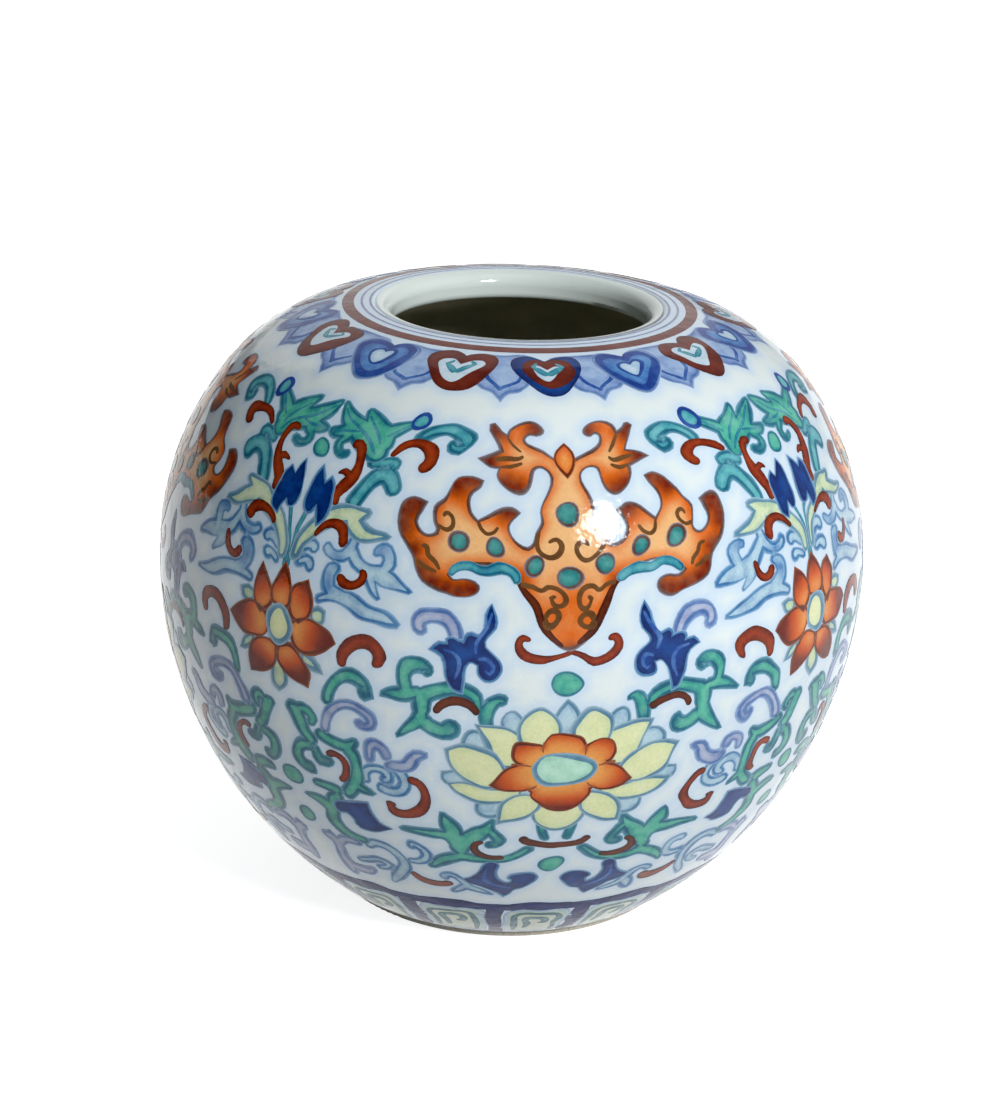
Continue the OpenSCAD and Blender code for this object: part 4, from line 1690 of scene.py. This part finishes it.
@dataclass
class Jar:
    """Glazed body of the coupe.

    Attributes:
        wall: the outer face.
        coat: thickness of the glaze, in millimetres.
        ring_step: spacing of the coat's rings up the wall.
        ring_skip: how many rings outside go with one inside, which nobody sees.
        bleed: reach of the blue bleeding round the painting.
        lip: depth below the crest at which the lip's pale glaze turns into the painted shade of the inside.
    """

    wall: Wall
    coat: float = 0.4
    ring_step: float = 0.7
    ring_skip: int = 4
    bleed: float = 0.9
    lip: float = 3.5

    def outer_coat(self, painted: Sequence[bpy.types.Object]) -> bpy.types.Object:
        """Turns the outer coat and marks where the painting's blue bleeds into it.

        Args:
            painted: the painted pieces.

        Returns:
            The coat.
        """
        steps = math.ceil(self.wall.length / self.ring_step)
        rises = [self.wall.length * i / steps for i in range(steps + 1)]
        outside = [self.wall.place(0, rise, 0, 0) for rise in rises]
        inside = [self.wall.place(0, rise, -self.coat, 0) for rise in rises[::-self.ring_skip]]
        glaze = ClearGlaze("clear_glaze_on_porcelain", "#E2ECEA", "#DCE9EC", "#C6DCF0")
        coat = to_piece(spun(outside + inside), "outer_glaze_coat", glaze.material())
        tree = nearest([v.co for piece in painted for v in piece.data.vertices])
        halo = coat.data.attributes.new("halo", "FLOAT", "POINT")
        reach = self.bleed * MM
        halo.data.foreach_set(
            "value", [math.exp(-(tree.find(v.co)[2] / reach) ** 2) for v in coat.data.vertices])
        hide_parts("outer_glaze")
        return coat

    def dress_clay(self) -> list[bpy.types.Object]:
        """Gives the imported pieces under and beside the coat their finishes.

        Returns:
            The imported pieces.
        """
        porcelain = Porcelain("white_porcelain_clay", "#E6EAE6", "#D8DDD8", 0.6, 0.5).material()
        slip = Porcelain("porcelain_slip", "#DAD8CF", "#C9C6BA", 0.5, 0.6).material()
        biscuit = Porcelain("bare_fired_biscuit", "#E0DACC", "#C8BCA8", 0.4, 0.75).material()
        # painted shade: the inner glaze turns darker olive below this height, inside the jar
        lip_mm = self.wall.height - self.lip
        inside = HollowGlazeWithPaintedShade("inner_glaze_and_painted_shade", "#DCE8E4", "#B8B59C", lip_mm).material()
        base = ClearGlaze("base_glaze_on_porcelain", "#E2EBE6", "#D8E4E0", "#D8E4E0").material()
        finishes = {
            "lower_body": porcelain, "upper_body": porcelain, "mouth_rim": porcelain, "luting_seam": slip,
            "foot_ring": biscuit, "inner_glaze": inside, "base_glaze": base}
        for node, material in finishes.items():
            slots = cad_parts[node].data.materials
            slots.clear()
            slots.append(material)
        return [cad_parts[node] for node in finishes]


@dataclass
class Studio:
    """Pale floor, soft light and the camera.

    Attributes:
        target: height of the point that the camera looks at, in metres.
        distance: distance of the camera from it.
        azimuth: the camera's turn from the front, towards the jar's left, in degrees.
        elevation: the camera's height angle.
        roll: how far the picture leans.
        focal_px: focal length in pixels of the photograph.
        centre_px: where the target lies in the photograph.
        frame_px: width and height of the photograph.
        floor_half: half the floor's width, so that its edge lies at the horizon.
        floor_glow: light of its own by which the floor comes out white in the picture and in reflections.
        room: the room's light on its dim side and on the window's side.
        room_sides: where the light is dim and where it is full, as shares of the way to each side.
    """

    target: float = 0.03787
    distance: float = 0.322
    azimuth: float = 8.9
    elevation: float = 21.13
    roll: float = 1.94
    focal_px: float = 2416.4
    centre_px: tuple[float, float] = (509.88, 600.0)
    frame_px: tuple[int, int] = (1000, 1119)
    floor_half: float = 40.0
    floor_glow: float = 0.86
    room: tuple[float, float] = (0.02, 0.56)
    room_sides: tuple[float, float] = (-0.8, 1.0)

    def direction(self, right: float, up: float) -> Vector:
        """Unit vector from the jar, turned right of the camera and up from level, in degrees."""
        turn, rise = math.radians(right - self.azimuth), math.radians(up)
        return Vector((math.cos(rise) * math.sin(turn), -math.cos(rise) * math.cos(turn), math.sin(rise)))

    def camera(self) -> None:
        """Sets the camera at the photograph's angle."""
        data = bpy.data.cameras.new("camera")
        camera = add_object("camera", data)
        outward = self.direction(0, self.elevation)
        camera.location = Vector((0, 0, self.target)) + outward * self.distance
        aim = (-outward).to_track_quat("-Z", "Y").to_matrix()
        camera.rotation_euler = (aim @ Matrix.Rotation(math.radians(self.roll), 3, "Z")).to_euler()
        width, height = self.frame_px
        data.lens = self.focal_px / height * data.sensor_width
        data.shift_x = (width / 2 - self.centre_px[0]) / height
        data.shift_y = (self.centre_px[1] - height / 2) / height
        data.clip_start = 0.01
        bpy.context.scene.camera = camera

    def lamp(self, name: str, right: float, up: float, reach: float, size: float, watts: float) -> None:
        """Hangs a round soft lamp that points at the jar.

        Args:
            name: the lamp's name.
            right: its turn to the right of the camera, in degrees.
            up: its height angle.
            reach: its distance, in metres.
            size: its width.
            watts: its power.
        """
        data = bpy.data.lights.new(name, "AREA")
        data.shape = "DISK"
        data.size = size
        data.energy = watts
        lamp = add_object(name, data)
        outward = self.direction(right, up)
        lamp.location = Vector((0, 0, self.target)) + outward * reach
        lamp.rotation_euler = (-outward).to_track_quat("-Z", "Y").to_euler()

    def floor(self) -> None:
        """Lays a plain pale floor that keeps the jar's soft shadow."""
        material, tree = empty_material("pale_paper_floor")
        path = add_node(tree, "ShaderNodeLightPath")
        mirror = add_node(
            tree, "ShaderNodeMath",
            {0: path.outputs["Is Glossy Ray"], 1: path.outputs["Is Transmission Ray"]}, operation="MAXIMUM")
        seen = add_node(
            tree, "ShaderNodeMath", {0: path.outputs["Is Camera Ray"], 1: mirror.outputs[0]},
            operation="MAXIMUM")
        colour = add_node(
            tree, "ShaderNodeMix",
            {"Factor": seen.outputs[0], MIX_A: linear("#CACACA"), MIX_B: linear("#CCCCCC")},
            data_type="RGBA")
        lift = add_node(
            tree, "ShaderNodeMath", {0: seen.outputs[0], 1: self.floor_glow}, operation="MULTIPLY")
        shader = add_node(
            tree, "ShaderNodeBsdfPrincipled",
            {"Base Color": colour.outputs[MIX_OUT], "Roughness": 0.9, "Emission Color": linear("#FFFFFF"),
             "Emission Strength": lift.outputs[0]})
        add_node(tree, "ShaderNodeOutputMaterial", {"Surface": shader.outputs["BSDF"]})
        sheet = bmesh.new()
        bmesh.ops.create_grid(sheet, x_segments=1, y_segments=1, size=self.floor_half)
        mesh = to_mesh(sheet, "floor")
        mesh.materials.append(material)
        floor = add_object("floor", mesh)

    def sky(self) -> None:
        """Fills the room with dim light, paler on the window's side."""
        world = bpy.data.worlds.new("room")
        world.use_nodes = True
        tree = world.node_tree
        tree.nodes.clear()
        place = add_node(tree, "ShaderNodeTexCoord")
        axes = add_node(tree, "ShaderNodeSeparateXYZ", {"Vector": place.outputs["Generated"]})
        (dim_side, full_side), (dim, full) = self.room_sides, self.room
        side = add_node(
            tree, "ShaderNodeMapRange",
            {"Value": axes.outputs["X"], "From Min": dim_side, "From Max": full_side, "To Min": dim,
             "To Max": full})
        light = add_node(
            tree, "ShaderNodeBackground", {"Color": linear("#FFFFFF"), "Strength": side.outputs["Result"]})
        add_node(tree, "ShaderNodeOutputWorld", {"Surface": light.outputs["Background"]})
        bpy.context.scene.world = world

    def build(self) -> None:
        """Sets up the whole studio."""
        self.floor()
        self.sky()
        self.camera()
        self.lamp("key", right=31, up=33, reach=0.6, size=0.12, watts=2.3)
        self.lamp("top", right=30, up=75, reach=0.8, size=0.5, watts=0.4)
        self.lamp("back", right=190, up=30, reach=1.2, size=1.2, watts=2.2)
        bpy.context.scene.view_settings.view_transform = "Standard"


def main() -> None:
    """Builds the studio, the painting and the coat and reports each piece."""
    logging.basicConfig(level=logging.INFO, format="%(message)s")
    Studio().build()
    wall = Wall.from_frame()
    painter = Painter(wall)
    for part in (BatPanel(), LotusPanel(), RuyiCollar(), FootBand(), MouthRings()):
        part.paint(painter)
    painted = painter.finish()
    jar = Jar(wall)
    coat = jar.outer_coat(painted)
    for piece in (*painted, coat, *jar.dress_clay()):
        finish = piece.data.materials[0].name
        log.info("%s: %s, %d faces", piece.name, finish, len(piece.data.polygons))


if __name__ == "__main__":
    main()
